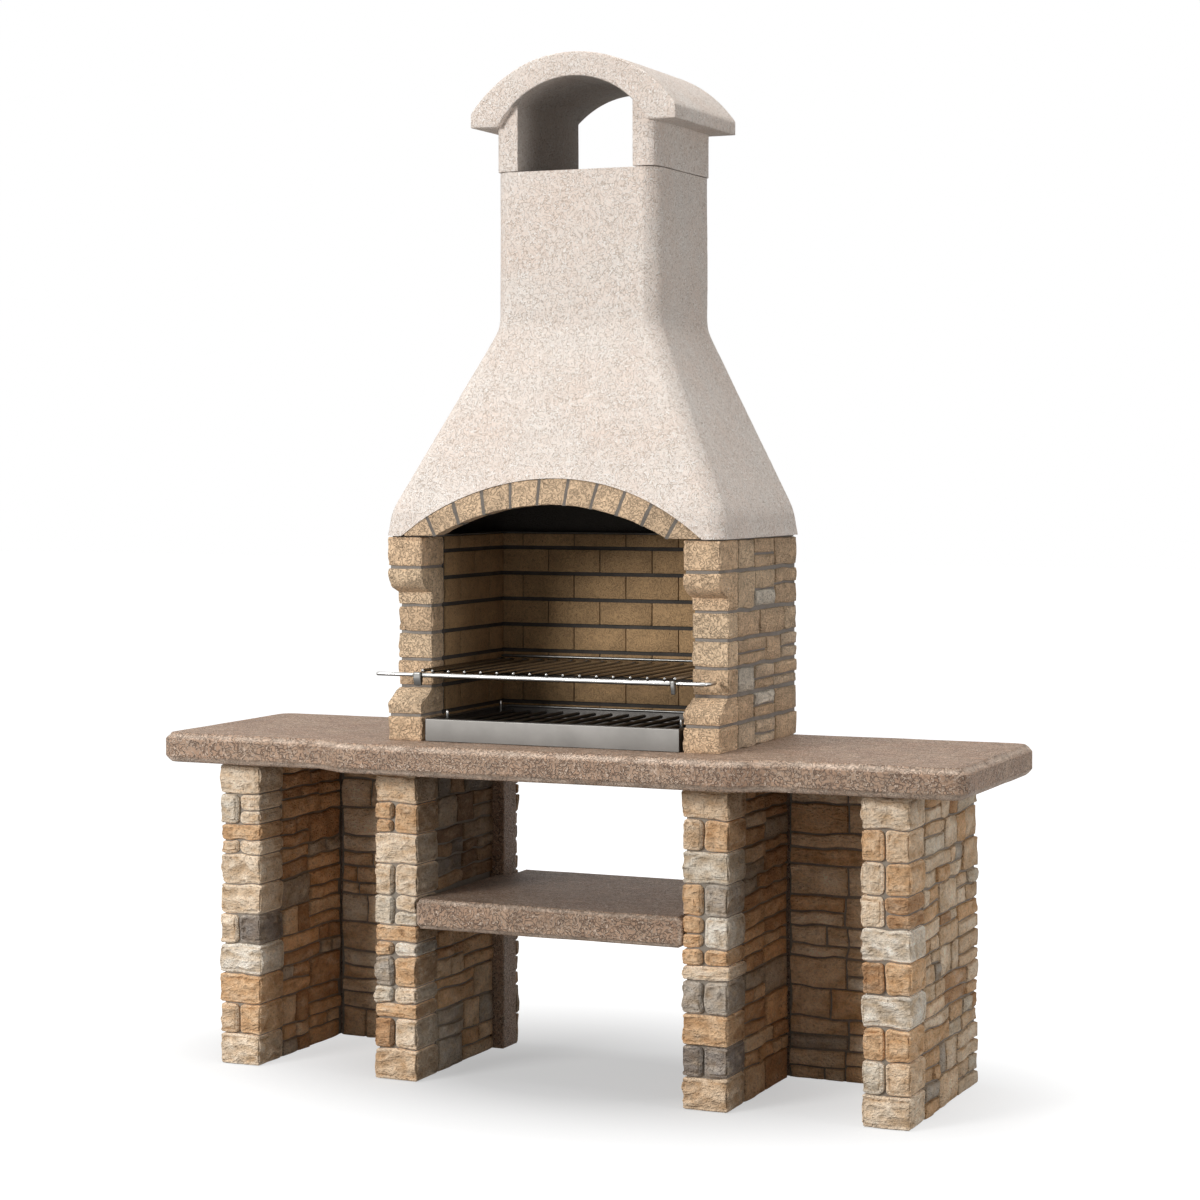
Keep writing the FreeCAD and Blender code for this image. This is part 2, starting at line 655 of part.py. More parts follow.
def rounded_oblong(sketch, half, near, far, radius):
    """A rectangle with round corners, wound from its front left corner."""
    points = [(-half + radius, near), (half - radius, near), (half, near + radius), (half, far - radius),
              (half - radius, far), (-half + radius, far), (-half, far - radius), (-half, near + radius)]
    return draw_profile(sketch, points, {index: (radius, -1) for index in (1, 3, 5, 7)})


def loft(body, kind, name, sketches):
    """A ruled loft through sections, added or cut."""
    feature = body.newObject(f"PartDesign::{kind}", name)
    feature.Profile = sketches[0]
    feature.Sections = sketches[1:]
    feature.Ruled = True
    doc.recompute()
    return feature


def hood():
    """Cast hood: flared skirt, slope and shaft in one hollow shell, notched for the brick arch."""
    body = doc.addObject("PartDesign::Body", "hood")
    flare, wall = d["skirt_flare"], d["hood_wall"]
    hood_half, shaft_half = pier_out + d["hood_overhang"], d["shaft_width"] / 2
    sections = [("foot", hood_under, hood_half, hood_front, fire_back),
                ("skirt", skirt_top, hood_half - flare, hood_front + flare, fire_back - flare),
                ("throat", shaft_under, shaft_half, shaft_front, shaft_back),
                ("mouth", shaft_top, shaft_half, shaft_front, shaft_back)]
    outer = []
    inner = []
    for name, level, half, near, far in sections:
        sketch = new_sketch(body, f"hood_{name}", "XY_Plane", level)
        outer.append(rounded_oblong(sketch, half, near, far, d["hood_round"]))
    loft(body, "AdditiveLoft", "hood_form", outer)
    for name, level, half, near, far in sections:
        sketch = new_sketch(body, f"flue_{name}", "XY_Plane", level)
        inner.append(rounded_oblong(sketch, half - wall, near + wall, far - wall, d["hood_round"]))
    hollow = loft(body, "SubtractiveLoft", "hood_flue", inner)
    half, rise = extrados_span / 2, d["arch_rise"] + d["arch_crown"]
    notch = new_sketch(body, "arch_notch_outline", "XZ_Plane", -notch_start)
    crown = {1: (circle_radius(extrados_span, rise), -1)}
    draw_profile(notch, [(-half, hood_under), (half, hood_under)], crown)
    pocket = body.newObject("PartDesign::Pocket", "arch_notch")
    pocket.Profile = notch
    pocket.setExpression("Length", notch_depth.text)
    doc.recompute()
    if pocket.Shape.Volume >= hollow.Shape.Volume:
        raise RuntimeError("the arch notch cut nothing")
    keep(body, "hood")
    return hollow.Shape


def arch(shell):
    """Brick arch flush with the hood's face: voussoirs, end wedges and the mortar between them."""
    span, rise, crown = float(arch_span), float(d["arch_rise"]), float(d["arch_crown"])
    joint, count = float(d["arch_joint"]), int(float(d["voussoirs"]))
    level = float(hood_under)
    radius = circle_radius(span, rise)
    centre = level + rise - radius
    near, depth = float(notch_start), float(notch_depth)

    def disc(chord, height):
        reach = circle_radius(chord, height)
        return Part.makeCylinder(reach, depth, FreeCAD.Vector(0, near, level + height - reach),
                                 FreeCAD.Vector(0, 1, 0))

    ring = disc(float(extrados_span), rise + crown).cut(disc(span, rise))
    above = Part.makeBox(2 * span, depth, span, FreeCAD.Vector(-span, near, level))
    ring = ring.common(above).common(shell)
    step = 2 * math.asin(span / 2 / radius) / count

    def joint_slab(angle):
        slab = Part.makeBox(joint, depth, radius + 2 * crown, FreeCAD.Vector(-joint / 2, near, 0))
        slab.rotate(FreeCAD.Vector(), FreeCAD.Vector(0, 1, 0), math.degrees(angle))
        slab.translate(FreeCAD.Vector(0, 0, centre))
        return slab

    slabs = [joint_slab(step * (place - count / 2)) for place in range(count + 1)]
    bricks = ring
    for slab in slabs:
        bricks = bricks.cut(slab)
    solids_node("arch_bricks", bricks.Solids)
    set_back = ring.common(shell.translated(FreeCAD.Vector(0, float(d["arch_recess"]), 0)))
    mortar = [solid for slab in slabs for solid in set_back.common(slab).Solids]
    solids_node("arch_mortar", mortar)


def chimney_cap():
    """Cast cap: two side walls under a barrel vault, open from front to back."""
    body = doc.addObject("PartDesign::Body", "chimney_cap")
    eave, soffit = d["eave_width"] / 2, d["soffit_span"] / 2
    soffit_rise = d["eave_thick"] + d["cap_rise"] - d["cap_crown"]
    y_far = shaft_back + d["cap_overhang"]
    depth = shaft_back - shaft_front + d["cap_overhang"] * 2
    vault = [(-eave, eave_under), (-soffit, eave_under), (soffit, eave_under), (eave, eave_under),
             (eave, eave_top), (-eave, eave_top)]
    arcs = {1: (circle_radius(d["soffit_span"], soffit_rise), 1),
            4: (circle_radius(d["eave_width"], d["cap_rise"]), -1)}
    sketch = draw_profile(new_sketch(body, "vault_profile", "XZ_Plane", -y_far), vault, arcs)
    pad(body, "vault", sketch, depth)
    half, opening, radius = d["shaft_width"] / 2, d["cap_opening"] / 2, d["hood_round"]
    for side, name in ((1, "right"), (-1, "left")):
        plan = new_sketch(body, f"{name}_wall_plan", "XY_Plane", shaft_top)
        points = [(opening, shaft_front), (half - radius, shaft_front), (half, shaft_front + radius),
                  (half, shaft_back - radius), (half - radius, shaft_back), (opening, shaft_back)]
        bends = {1: (radius, -1), 3: (radius, -1)}
        if side < 0:
            points = [(-x, y) for x, y in points]
            bends = {1: (radius, 1), 3: (radius, 1)}
        pad(body, f"{name}_wall", draw_profile(plan, points, bends), d["cap_wall_height"] + soffit_rise)
    trim = new_sketch(body, "above_vault", "XZ_Plane", -y_far)
    top = cap_apex + d["cap_rise"]
    over = [(eave, eave_top), (eave, top), (-eave, top), (-eave, eave_top)]
    draw_profile(trim, over, {3: (circle_radius(d["eave_width"], d["cap_rise"]), 1)})
    cut = body.newObject("PartDesign::Pocket", "vault_trim")
    cut.Profile = trim
    cut.setExpression("Length", depth.text)
    cut.Reversed = True
    doc.recompute()
    return keep(body, "chimney_cap")


def ember_tray():
    """Folded steel pan with a separate front plate."""
    sheet_thick, half = d["tray_sheet"], tray_half
    y0, y1 = fire_front + sheet_thick, tray_back
    rim = tray_floor + d["tray_height"]
    body = doc.addObject("PartDesign::Body", "ember_tray_pan")
    outline = [(-half, y0), (half, y0), (half, y1), (-half, y1)]
    plan = draw_profile(new_sketch(body, "pan_outline", "XY_Plane", tray_floor), outline)
    pan = pad(body, "pan_block", plan, d["tray_height"])
    inside = [(-half + sheet_thick, y0 + sheet_thick), (half - sheet_thick, y0 + sheet_thick),
              (half - sheet_thick, y1 - sheet_thick), (-half + sheet_thick, y1 - sheet_thick)]
    hollow = body.newObject("PartDesign::Pocket", "pan_inside")
    hollow.Profile = draw_profile(new_sketch(body, "pan_mouth", "XY_Plane", rim), inside)
    hollow.setExpression("Length", (d["tray_height"] - sheet_thick).text)
    doc.recompute()
    if hollow.Shape.Volume > pan.Shape.Volume / 2:
        raise RuntimeError("the pan is not hollow")
    keep(body, "ember_tray_pan")
    keep(box("ember_tray_front", (-half, half), (fire_front, y0), (tray_floor, rim)), "ember_tray_front")


def ember_grate():
    """Round bars on two cross rods, held up by four corner posts."""
    rod_size, gap = d["grate_rod"], d["weld_gap"]
    count = int(float(d["grate_bars"]))
    outer_bar = tray_half - d["tray_sheet"] - d["grate_side_gap"]
    pitch = outer_bar * 2 / (count - 1)
    inner_floor = tray_floor + d["tray_sheet"]
    level = inner_floor + d["grate_level"]
    y0 = fire_front + d["grate_margin"]
    length = tray_back - d["grate_margin"] - y0
    bars = [rod(f"ember_bar_{place}", "y", rod_size, (pitch * place - outer_bar, y0, level), length)
            for place in range(count)]
    group("ember_grate_bars", bars)
    under = level - rod_size - gap
    cross_half = outer_bar + rod_size
    rows = (y0 + d["cross_inset"], y0 + length - d["cross_inset"])
    cross = [rod(f"ember_cross_{place}", "x", rod_size, (-cross_half, y, under), cross_half * 2)
             for place, y in enumerate(rows)]
    group("ember_grate_cross_rods", cross)
    posts = []
    stand = inner_floor + d["run_gap"]
    for place, y in enumerate(rows):
        for side in (-1, 1):
            foot = ((cross_half + rod_size / 2 + gap) * side, y, stand)
            posts.append(rod(f"ember_post_{place}_{side}", "z", rod_size, foot, d["grate_post_height"]))
    group("ember_grate_posts", posts)


def cooking_grill():
    """Grill of round bars on a front rail, with clips and rod handles, and a rear rail on top."""
    bar, gap = d["grill_bar"], d["weld_gap"]
    count = int(float(d["grill_bars"]))
    rail_y = front + d["rail_setback"]
    rail_z = worktop_top + d["rail_level"]
    bar_z = rail_z + d["rail_rod"] / 2 + bar / 2 + gap
    y0 = rail_y - d["rail_rod"] / 2
    depth = lining_face - d["grill_back_gap"] - y0
    side_x = pier_in - d["side_gap"] - d["side_rod"] / 2
    outer_bar = side_x - d["grill_side_gap"]
    pitch = outer_bar * 2 / (count - 1)
    bars = [rod(f"grill_bar_{place}", "y", bar, (pitch * place - outer_bar, y0, bar_z), depth)
            for place in range(count)]
    group("grill_bars", bars)
    side_z = rail_z + d["rail_rod"] / 2 + d["side_rod"] / 2 + gap
    sides = [rod(f"grill_side_{side}", "y", d["side_rod"], (side_x * side, y0, side_z), depth)
             for side in (-1, 1)]
    group("grill_side_rods", sides)
    reach = side_x + d["side_rod"] / 2
    rail_end = reach - d["right_clip_inset"]
    rail = rod("grill_front_rail", "x", d["rail_rod"], (-reach, rail_y, rail_z), rail_end + reach)
    keep(rail, "grill_front_rail")
    rear_z = side_z + d["side_rod"] / 2 + bar / 2 + gap
    rear_y = y0 + depth - bar
    keep(rod("grill_rear_rail", "x", bar, (-reach, rear_y, rear_z), reach * 2), "grill_rear_rail")
    for side, hand, end in ((-1, "left", reach), (1, "right", rail_end)):
        clip(hand, side, end, rail_y, rail_z)
        handle(hand, side, end + d[f"{hand}_clip_width"], rail_y, rail_z)
    pegs(side_z - d["side_rod"] / 2 - d["run_gap"])


def clip(hand, side, inner, rail_y, rail_z):
    """The block between rail and handle, pointed at the bottom."""
    body = doc.addObject("PartDesign::Body", f"grill_{hand}_clip")
    half, drop = d["clip_depth"] / 2, d["clip_drop"]
    top = rail_z + d["rail_rod"] / 2
    profile = [(rail_y - half, rail_z - half), (rail_y, rail_z - drop), (rail_y + half, rail_z - half),
               (rail_y + half, top), (rail_y - half, top)]
    low, high = mirrored(side, inner, inner + d[f"{hand}_clip_width"])
    sketch = draw_profile(new_sketch(body, f"{hand}_clip_profile", "YZ_Plane", low), profile)
    pad(body, f"{hand}_clip_block", sketch, high - low)
    keep(body, f"grill_{hand}_clip")


def handle(hand, side, start, rail_y, rail_z):
    """A rod handle: plain with a round end on the left, turned back at its end on the right."""
    radius = d["handle_rod"] / 2
    tip = start + d[f"{hand}_handle_length"]
    low, high = mirrored(side, start, tip)
    straight = rod(f"{hand}_handle_rod", "x", d["handle_rod"], (low, rail_y, rail_z), high - low)
    end = doc.addObject("Part::Sphere", f"{hand}_handle_end")
    end.setExpression("Radius", radius.text)
    for axis, place in zip("xyz", (tip * side, rail_y, rail_z)):
        end.setExpression(f"Placement.Base.{axis}", place.text)
    pieces = [straight, end]
    if side > 0:
        elbow = (tip, rail_y, rail_z)
        pieces.append(rod("right_handle_return", "y", d["handle_rod"], elbow, d["handle_return"]))
    joined = doc.addObject("Part::MultiFuse", f"grill_{hand}_handle")
    joined.Shapes = pieces
    keep(joined, f"grill_{hand}_handle")


def pegs(level):
    """Steel pegs in upright joints of the lining, under the side rods of the grill."""
    joint = d["fire_joint"]
    run = lining_face - pier_end - joint
    count = max(1, round(float(run) / float(d["brick_length"])))
    rows = (pier_end + joint / 2, pier_end + joint + run * ((count - 1) / count))
    length = d["peg_reach"] + d["lining_thick"]
    z = level - d["peg_rod"] / 2
    solids = []
    for side in (-1, 1):
        low, high = mirrored(side, pier_in - d["peg_reach"], pier_in + d["lining_thick"])
        for place, y in enumerate(rows):
            solids.append(rod(f"grill_peg_{side}_{place}", "x", d["peg_rod"], (low, y, z), length))
    group("grill_rest_pegs", solids)


for side in (-1, 1):
    leg("outer", side, outer_leg_in, outer_leg_out, False)
    leg("inner", side, inner_leg_in, inner_leg_out, True)
    back_panel(side)
leg_beds()
worktop_beds()
worktop()
shelf()
for side in (-1, 1):
    pier(side)
    cheek(side)
pier_beds()
firebox_back()
hood_beds()
hood_shell = hood()
arch(hood_shell)
chimney_cap()
ember_tray()
ember_grate()
cooking_grill()
doc.recompute()

for item in doc.Objects:
    if "Invalid" in item.State or "Error" in item.State:
        raise RuntimeError(f"{item.Label} failed: {item.State}")
for node in nodes:
    if node.Shape.isNull() or not node.Shape.isValid() or not node.Shape.Solids:
        raise RuntimeError(f"{node.Label} has no valid shape")
for node in nodes:
    node.Shape.exportStep(f"parts/{node.Label}.step")
    print(f"{node.Label}: {len(node.Shape.Solids)} solids, {node.Shape.Volume / 1000:.1f} cm3")
print(f"{len(nodes)} nodes")
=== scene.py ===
import json
import math
import bpy
import numpy as np
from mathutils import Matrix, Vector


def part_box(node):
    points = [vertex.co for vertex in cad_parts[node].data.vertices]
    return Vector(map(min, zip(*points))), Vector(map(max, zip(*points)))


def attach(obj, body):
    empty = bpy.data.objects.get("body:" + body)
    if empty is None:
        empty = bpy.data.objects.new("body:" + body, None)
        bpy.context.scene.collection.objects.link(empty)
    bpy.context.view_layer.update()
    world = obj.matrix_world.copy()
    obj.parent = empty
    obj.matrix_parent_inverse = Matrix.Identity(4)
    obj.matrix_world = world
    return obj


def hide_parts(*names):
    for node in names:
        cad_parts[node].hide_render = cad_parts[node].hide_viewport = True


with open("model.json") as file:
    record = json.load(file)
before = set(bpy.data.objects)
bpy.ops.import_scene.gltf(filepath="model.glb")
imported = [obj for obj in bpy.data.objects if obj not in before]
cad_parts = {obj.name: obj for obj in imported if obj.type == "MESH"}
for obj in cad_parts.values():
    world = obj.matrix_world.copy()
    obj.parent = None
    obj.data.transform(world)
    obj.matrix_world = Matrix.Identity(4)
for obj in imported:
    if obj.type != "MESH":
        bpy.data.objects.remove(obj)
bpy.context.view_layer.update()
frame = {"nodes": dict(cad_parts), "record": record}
nodes = frame["nodes"]
bodyOf = {node: body for body, held in frame["record"]["behaviour"]["bodies"].items() for node in held}
scene = bpy.context.scene
sides = ("left", "right")
print("frame:", len(nodes), "nodes")


# screen colour in 0..255 to the linear colour that Blender takes
def screenColour(red, green, blue):
    share = np.array((red, green, blue)) / 255.0
    return np.where(share <= 0.04045, share / 12.92, ((share + 0.055) / 1.055) ** 2.4)


# pseudo-random 0..1 for whole-number lattice points, mixed by multiplying and folding their bits
def latticeValue(i, j, k, seed):
    n = i * 374761393 + j * 668265263 + k * 974634777 + seed * 1274126177
    n = (n ^ (n >> 13)) * 1274126177
    return ((n ^ (n >> 16)) & 0xFFFF) / 65535.0


# smooth noise -1..1: lattice values blended by the cubic 3t^2 - 2t^3 along each axis, in cells of the grain
def smoothNoise(points, grain, seed=0):
    q = points / np.asarray(grain)
    cell = np.floor(q).astype(np.int64)
    t = q - cell
    t = t * t * (3 - 2 * t)
    near = (1 - t, t)
    total = 0.0
    for i, j, k in np.ndindex(2, 2, 2):
        weight = near[i][..., 0] * near[j][..., 1] * near[k][..., 2]
        total = total + weight * latticeValue(cell[..., 0] + i, cell[..., 1] + j, cell[..., 2] + k, seed)
    return total * 2 - 1


# the same noise as a share 0..1
def noiseShare(points, grain, seed=0):
    return smoothNoise(points, grain, seed) * 0.5 + 0.5


# cubic step from 0 at low to 1 at high
def softStep(value, low, high):
    t = np.clip((value - low) / (high - low), 0, 1)
    return t * t * (3 - 2 * t)


# values side by side along a new last axis; a single value is spread over the others
def gathered(*values):
    return np.stack(np.broadcast_arrays(*values), -1)


# directions brought to the length 1
def unitLength(direction):
    return direction / np.linalg.norm(direction, axis=-1, keepdims=True)


# a node's name with capitals in place of its underscores
def camel(word):
    first, *rest = word.split("_")
    return first + "".join(part.title() for part in rest)


# lowest and highest corners of a node's box
def boxOf(node):
    low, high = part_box(node)
    return np.array(low), np.array(high)


# put numpy arrays into a mesh object with a finish and values for its points; it goes on the body of the
# node that it is like, or else of the first node that it stands for
def addPiece(name, verts, faces, finish, stands=(), layers=None, crease=40, like=None):
    mesh = bpy.data.meshes.new(name)
    mesh.from_pydata(verts.reshape(-1, 3), [], faces)
    mesh.shade_smooth()
    mesh.set_sharp_from_angle(angle=math.radians(crease))
    for label, values in (layers or {}).items():
        if values.ndim > 1:
            colour = np.concatenate((values, np.ones((len(values), 1))), axis=1)
            mesh.attributes.new(label, "FLOAT_COLOR", "POINT").data.foreach_set("color", colour.ravel())
        else:
            mesh.attributes.new(label, "FLOAT", "POINT").data.foreach_set("value", values)
    mesh.materials.append(finishes[finish])
    piece = bpy.data.objects.new(name, mesh)
    scene.collection.objects.link(piece)
    model = like or stands[0]
    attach(piece, bodyOf[model])
    if stands:
        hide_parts(*stands)
    return piece


# quads between the neighbours in a grid of point numbers
def gridQuads(number):
    return np.stack((number[:-1, :-1], number[1:, :-1], number[1:, 1:], number[:-1, 1:]), -1).reshape(-1, 4)


# faces of rings carried along a path: quads round each step, and a cap at both ends
def tubeFaces(rings, around):
    number = np.arange(rings * around).reshape(rings, around)
    quads = gridQuads(np.concatenate((number, number[:, :1]), axis=1))
    return quads.tolist() + [number[0].tolist(), number[-1, ::-1].tolist()]


# points and faces of several parts put one after the other
def joined(parts):
    starts = np.cumsum([0] + [len(points) for points, rows in parts])
    faces = [[corner + start for corner in face]
             for (points, rows), start in zip(parts, starts) for face in rows]
    return np.concatenate([points for points, rows in parts]), faces


# lowest and highest corners of each separate solid in a CAD node: corners at one place are joined, then
# each triangle hands its lowest label to its corners until nothing changes
def solidBoxes(name):
    mesh = nodes[name].data
    place = np.empty(len(mesh.vertices) * 3, np.float32)
    mesh.vertices.foreach_get("co", place)
    place = place.reshape(-1, 3).astype(float)
    corner = np.empty(len(mesh.loops), np.int32)
    mesh.loops.foreach_get("vertex_index", corner)
    spot = np.unique(np.round(place, 5), axis=0, return_inverse=True)[1].ravel()
    triangle = spot[corner].reshape(-1, 3)
    label = np.arange(spot.max() + 1)
    while True:
        lower = label.copy()
        np.minimum.at(lower, triangle.ravel(), np.repeat(label[triangle].min(axis=1), 3))
        lower = lower[lower]
        if (lower == label).all():
            break
        label = lower
    solid = np.unique(label[spot], return_inverse=True)[1].ravel()
    low = np.full((solid.max() + 1, 3), np.inf)
    high = -low
    np.minimum.at(low, solid, place)
    np.maximum.at(high, solid, place)
    return low, high


# outside of a lattice of points: each surface point's three indices, and quads that face outwards
def latticeSkin(counts):
    grid = np.indices(counts)
    last = np.reshape(counts, (3, 1, 1, 1)) - 1
    skin = ((grid == 0) | (grid == last)).any(axis=0)
    number = np.zeros(counts, int)
    number[skin] = np.arange(skin.sum())
    turned = [gridQuads(sheet)[:, ::-1] for sheet in (number[0], number[:, -1], number[:, :, 0])]
    plain = [gridQuads(sheet) for sheet in (number[-1], number[:, 0], number[:, :, -1])]
    return grid[:, skin].T, np.concatenate(turned + plain)


rimPlaces = np.array((0.0, 0.45))


# positions along the edges of many blocks: two points in each rim, the rest even between the rims
def crowded(length, count, rim):
    ends = rimPlaces * rim + np.zeros((len(length), 1))
    middle = rim + np.linspace(0, 1, count - 2 * len(rimPlaces)) * (length[:, None] - 2 * rim)
    return np.concatenate((ends, middle, length[:, None] - ends[:, ::-1]), axis=1)


# many rounded blocks at once: a point is the nearest point of a smaller block, moved out until the power
# sum of its steps is the rim: a power of 2 gives a round rim, and near 1 a flat bevel
def roundedBlocks(low, high, counts, rim, power=2.0):
    size = high - low
    index, quads = latticeSkin(counts)
    spread = [crowded(size[:, a], counts[a], rim)[:, index[:, a]] for a in range(3)]
    half = size[:, None] / 2
    point = np.stack(spread, -1) - half
    inner = np.clip(point, rim - half, half - rim)
    outward = point - inner
    reach = (np.abs(outward) ** power).sum(axis=-1, keepdims=True) ** (1 / power)
    point = inner + outward / reach * rim
    faces = (quads[None] + (np.arange(len(low)) * point.shape[1])[:, None, None]).reshape(-1, 4)
    return point, unitLength(outward), half, low[:, None] + half, faces


# one rounded block in its place, for slabs that are then bent or narrowed
def oneBlock(low, high, counts, rim, power=2.0):
    point, outward, half, centre, faces = roundedBlocks(np.array([low]), np.array([high]), counts, rim, power)
    return (point + centre)[0], outward[0], faces


# what all rough blocks share: the seeds of their noise, how far apart two blocks may read it, the height up
# to which joints wander less, the gap to the floor, and how near a stone's edge is to count as the wall's
hewnSet = {"ridge": 1, "facet": 2, "chip": 3, "knock": 4, "warp": (21, 22, 23), "sway": (31, 32),
           "apart": 9, "calmTo": 0.03, "floorGap": 0.0005, "sameEdge": 0.002}


# depth that is cut back from a rough block: the sum of a pillow that falls to the rims, bent ridges along
# the bedding, broad facets, small chips and knocked edges, each a share 0..1 times its own depth
def hewnDepth(place, outward, unit, look):
    fall = np.abs(unit) ** look["pillowPower"]
    square = outward ** 2
    pillow = 0.0
    for a, b, c in ((0, 1, 2), (1, 2, 0), (2, 0, 1)):
        pillow = pillow + square[..., a] * (1 - (1 - fall[..., b]) * (1 - fall[..., c]))
    warp = np.stack([smoothNoise(place, look["warpGrain"], seed) for seed in hewnSet["warp"]], -1)
    bent = place + look["warp"] * warp
    ridge = np.abs(smoothNoise(bent, look["ridgeGrain"], hewnSet["ridge"]))
    facet = noiseShare(bent, look["facetGrain"], hewnSet["facet"])
    chip = np.clip(smoothNoise(bent, look["chipGrain"], hewnSet["chip"]), 0, 1)
    knock = 2 * (1 - square.max(axis=-1)) * noiseShare(place, look["knockGrain"], hewnSet["knock"])
    return (look["pillow"] * pillow + look["ridge"] * ridge + look["facet"] * facet + look["chip"] * chip
            + look["knock"] * knock)


# places moved within a wall by smooth noise that is the same for all its stones, so that the joints wander;
# it fades to nothing at the floor
def swayed(place, axis, look):
    flat = place * (1 - np.eye(3)[axis])
    share = look["sway"] * softStep(place[..., 2], 0.0, hewnSet["calmTo"])
    place = place.copy()
    for direction, seed in zip((1 - axis, 2), hewnSet["sway"]):
        place[..., direction] += share * smoothNoise(flat, look["swayGrain"], seed)
    return place


# rough-hewn blocks in the place of a node's solids, with a tone for each block and a relief value for each
# point; drawBack moves the front (low Y) towards the back by a share of the step, by the share of height,
# and the paintedShade share darkens what faces right, as painted shade in the tone
def hewnBlocks(name, node, look, tones, finish, keep, room, order=None, drawBack=None, paintedShade=0.0):
    low, high = solidBoxes(node)
    if order:
        rank = order(low, high)
        low, high = low[rank], high[rank]
    cut = keep(low, high)
    low, high = room(low, high)
    point, outward, half, centre, faces = roundedBlocks(low, high, look["counts"], look["rim"])
    dice = np.random.default_rng(look["seed"] + len(name))
    shift = dice.random((len(low), 1, 3)) * hewnSet["apart"]
    depth = hewnDepth(point + centre + shift, outward, point / half, look) * cut(outward)
    depth = np.minimum(depth, look["deepest"])
    point = point - outward * depth[..., None]
    if drawBack:
        share = np.clip(point[..., 2] / half[..., 2] * 0.5 + 0.5, 0, 1)
        front = 1 - drawBack(share) * look["step"] / (2 * half[..., 1])
        point[..., 1] = half[..., 1] - (half[..., 1] - point[..., 1]) * front
    # painted shade: the tone is darkened on the faces that look right
    tone = tones(low, high, dice)[:, None] * (1 - paintedShade * np.clip(2 * outward[..., :1], 0, 1))
    layers = {"tone": tone.reshape(-1, 3), "relief": (depth / look["deepest"]).ravel()}
    return addPiece(name, swayed(point + centre, 1, look), faces, finish, [node], layers, look["crease"])


# positions along an edge: the two ends, the two rims and even points between
def rimmed(length, count, rim):
    middle = rim + np.linspace(0, 1, count - 2) * (length[:, None] - 2 * rim)
    return np.concatenate((np.zeros((len(length), 1)), middle, length[:, None]), axis=1)


# stones split in two by chance with a joint between: level where they are tall, then across if they are long
def splitStones(low, high, run, look, dice):
    for along, chance, least in ((2, "splitLevel", "tall"), (run, "splitAcross", "long")):
        size = (high - low)[:, along]
        which = np.flatnonzero((dice.random(len(low)) < look[chance]) & (size > look[least]))
        share = look["cutFrom"] + look["cutRange"] * dice.random(len(which))
        cut = low[which, along] + size[which] * share
        secondLow, secondHigh = low[which].copy(), high[which].copy()
        secondLow[:, along] = cut + look["joint"] / 2
        high[which, along] = cut - look["joint"] / 2
        low, high = np.concatenate((low, secondLow)), np.concatenate((high, secondHigh))
    return low, high


# boxes of a wall's stones and the way that each faces, +1 or -1 along the axis: the CAD boxes brought
# nearer to each other, split by chance and put forward unevenly. A wall of two skins faces both ways, a
# single one outwards from the middle of the object, or inwards where that is said
def wallStones(node, axis, look, dice, inwards):
    low, high = solidBoxes(node)
    run = 1 - axis
    atLow = low[:, run] - low[:, run].min() < hewnSet["sameEdge"]
    atHigh = high[:, run].max() - high[:, run] < hewnSet["sameEdge"]
    low[:, run] -= np.where(atLow, look["ends"], look["closeRun"])
    high[:, run] += np.where(atHigh, look["ends"], look["closeRun"])
    low[:, 2] -= look["closeRise"]
    high[:, 2] += look["closeRise"]
    low, high = splitStones(low, high, run, look, dice)
    wallLow, wallHigh = (corner[axis] for corner in boxOf(node))
    middle = (low + high)[:, axis] / 2
    facing = (np.sign(middle) if axis == 0 else np.ones(len(low))) * (-1 if inwards else 1)
    if wallHigh - wallLow > look["twoSkins"] * (high - low)[:, axis].max():
        facing = np.where(middle > (wallLow + wallHigh) / 2, 1, -1)
    low[:, 2] = np.maximum(low[:, 2], hewnSet["floorGap"])
    proud = look["proud"] + look["uneven"] * (dice.random(len(low)) - 0.5)
    high[:, axis] += np.where(facing > 0, proud, 0)
    low[:, axis] -= np.where(facing < 0, proud, 0)
    return low, high, facing


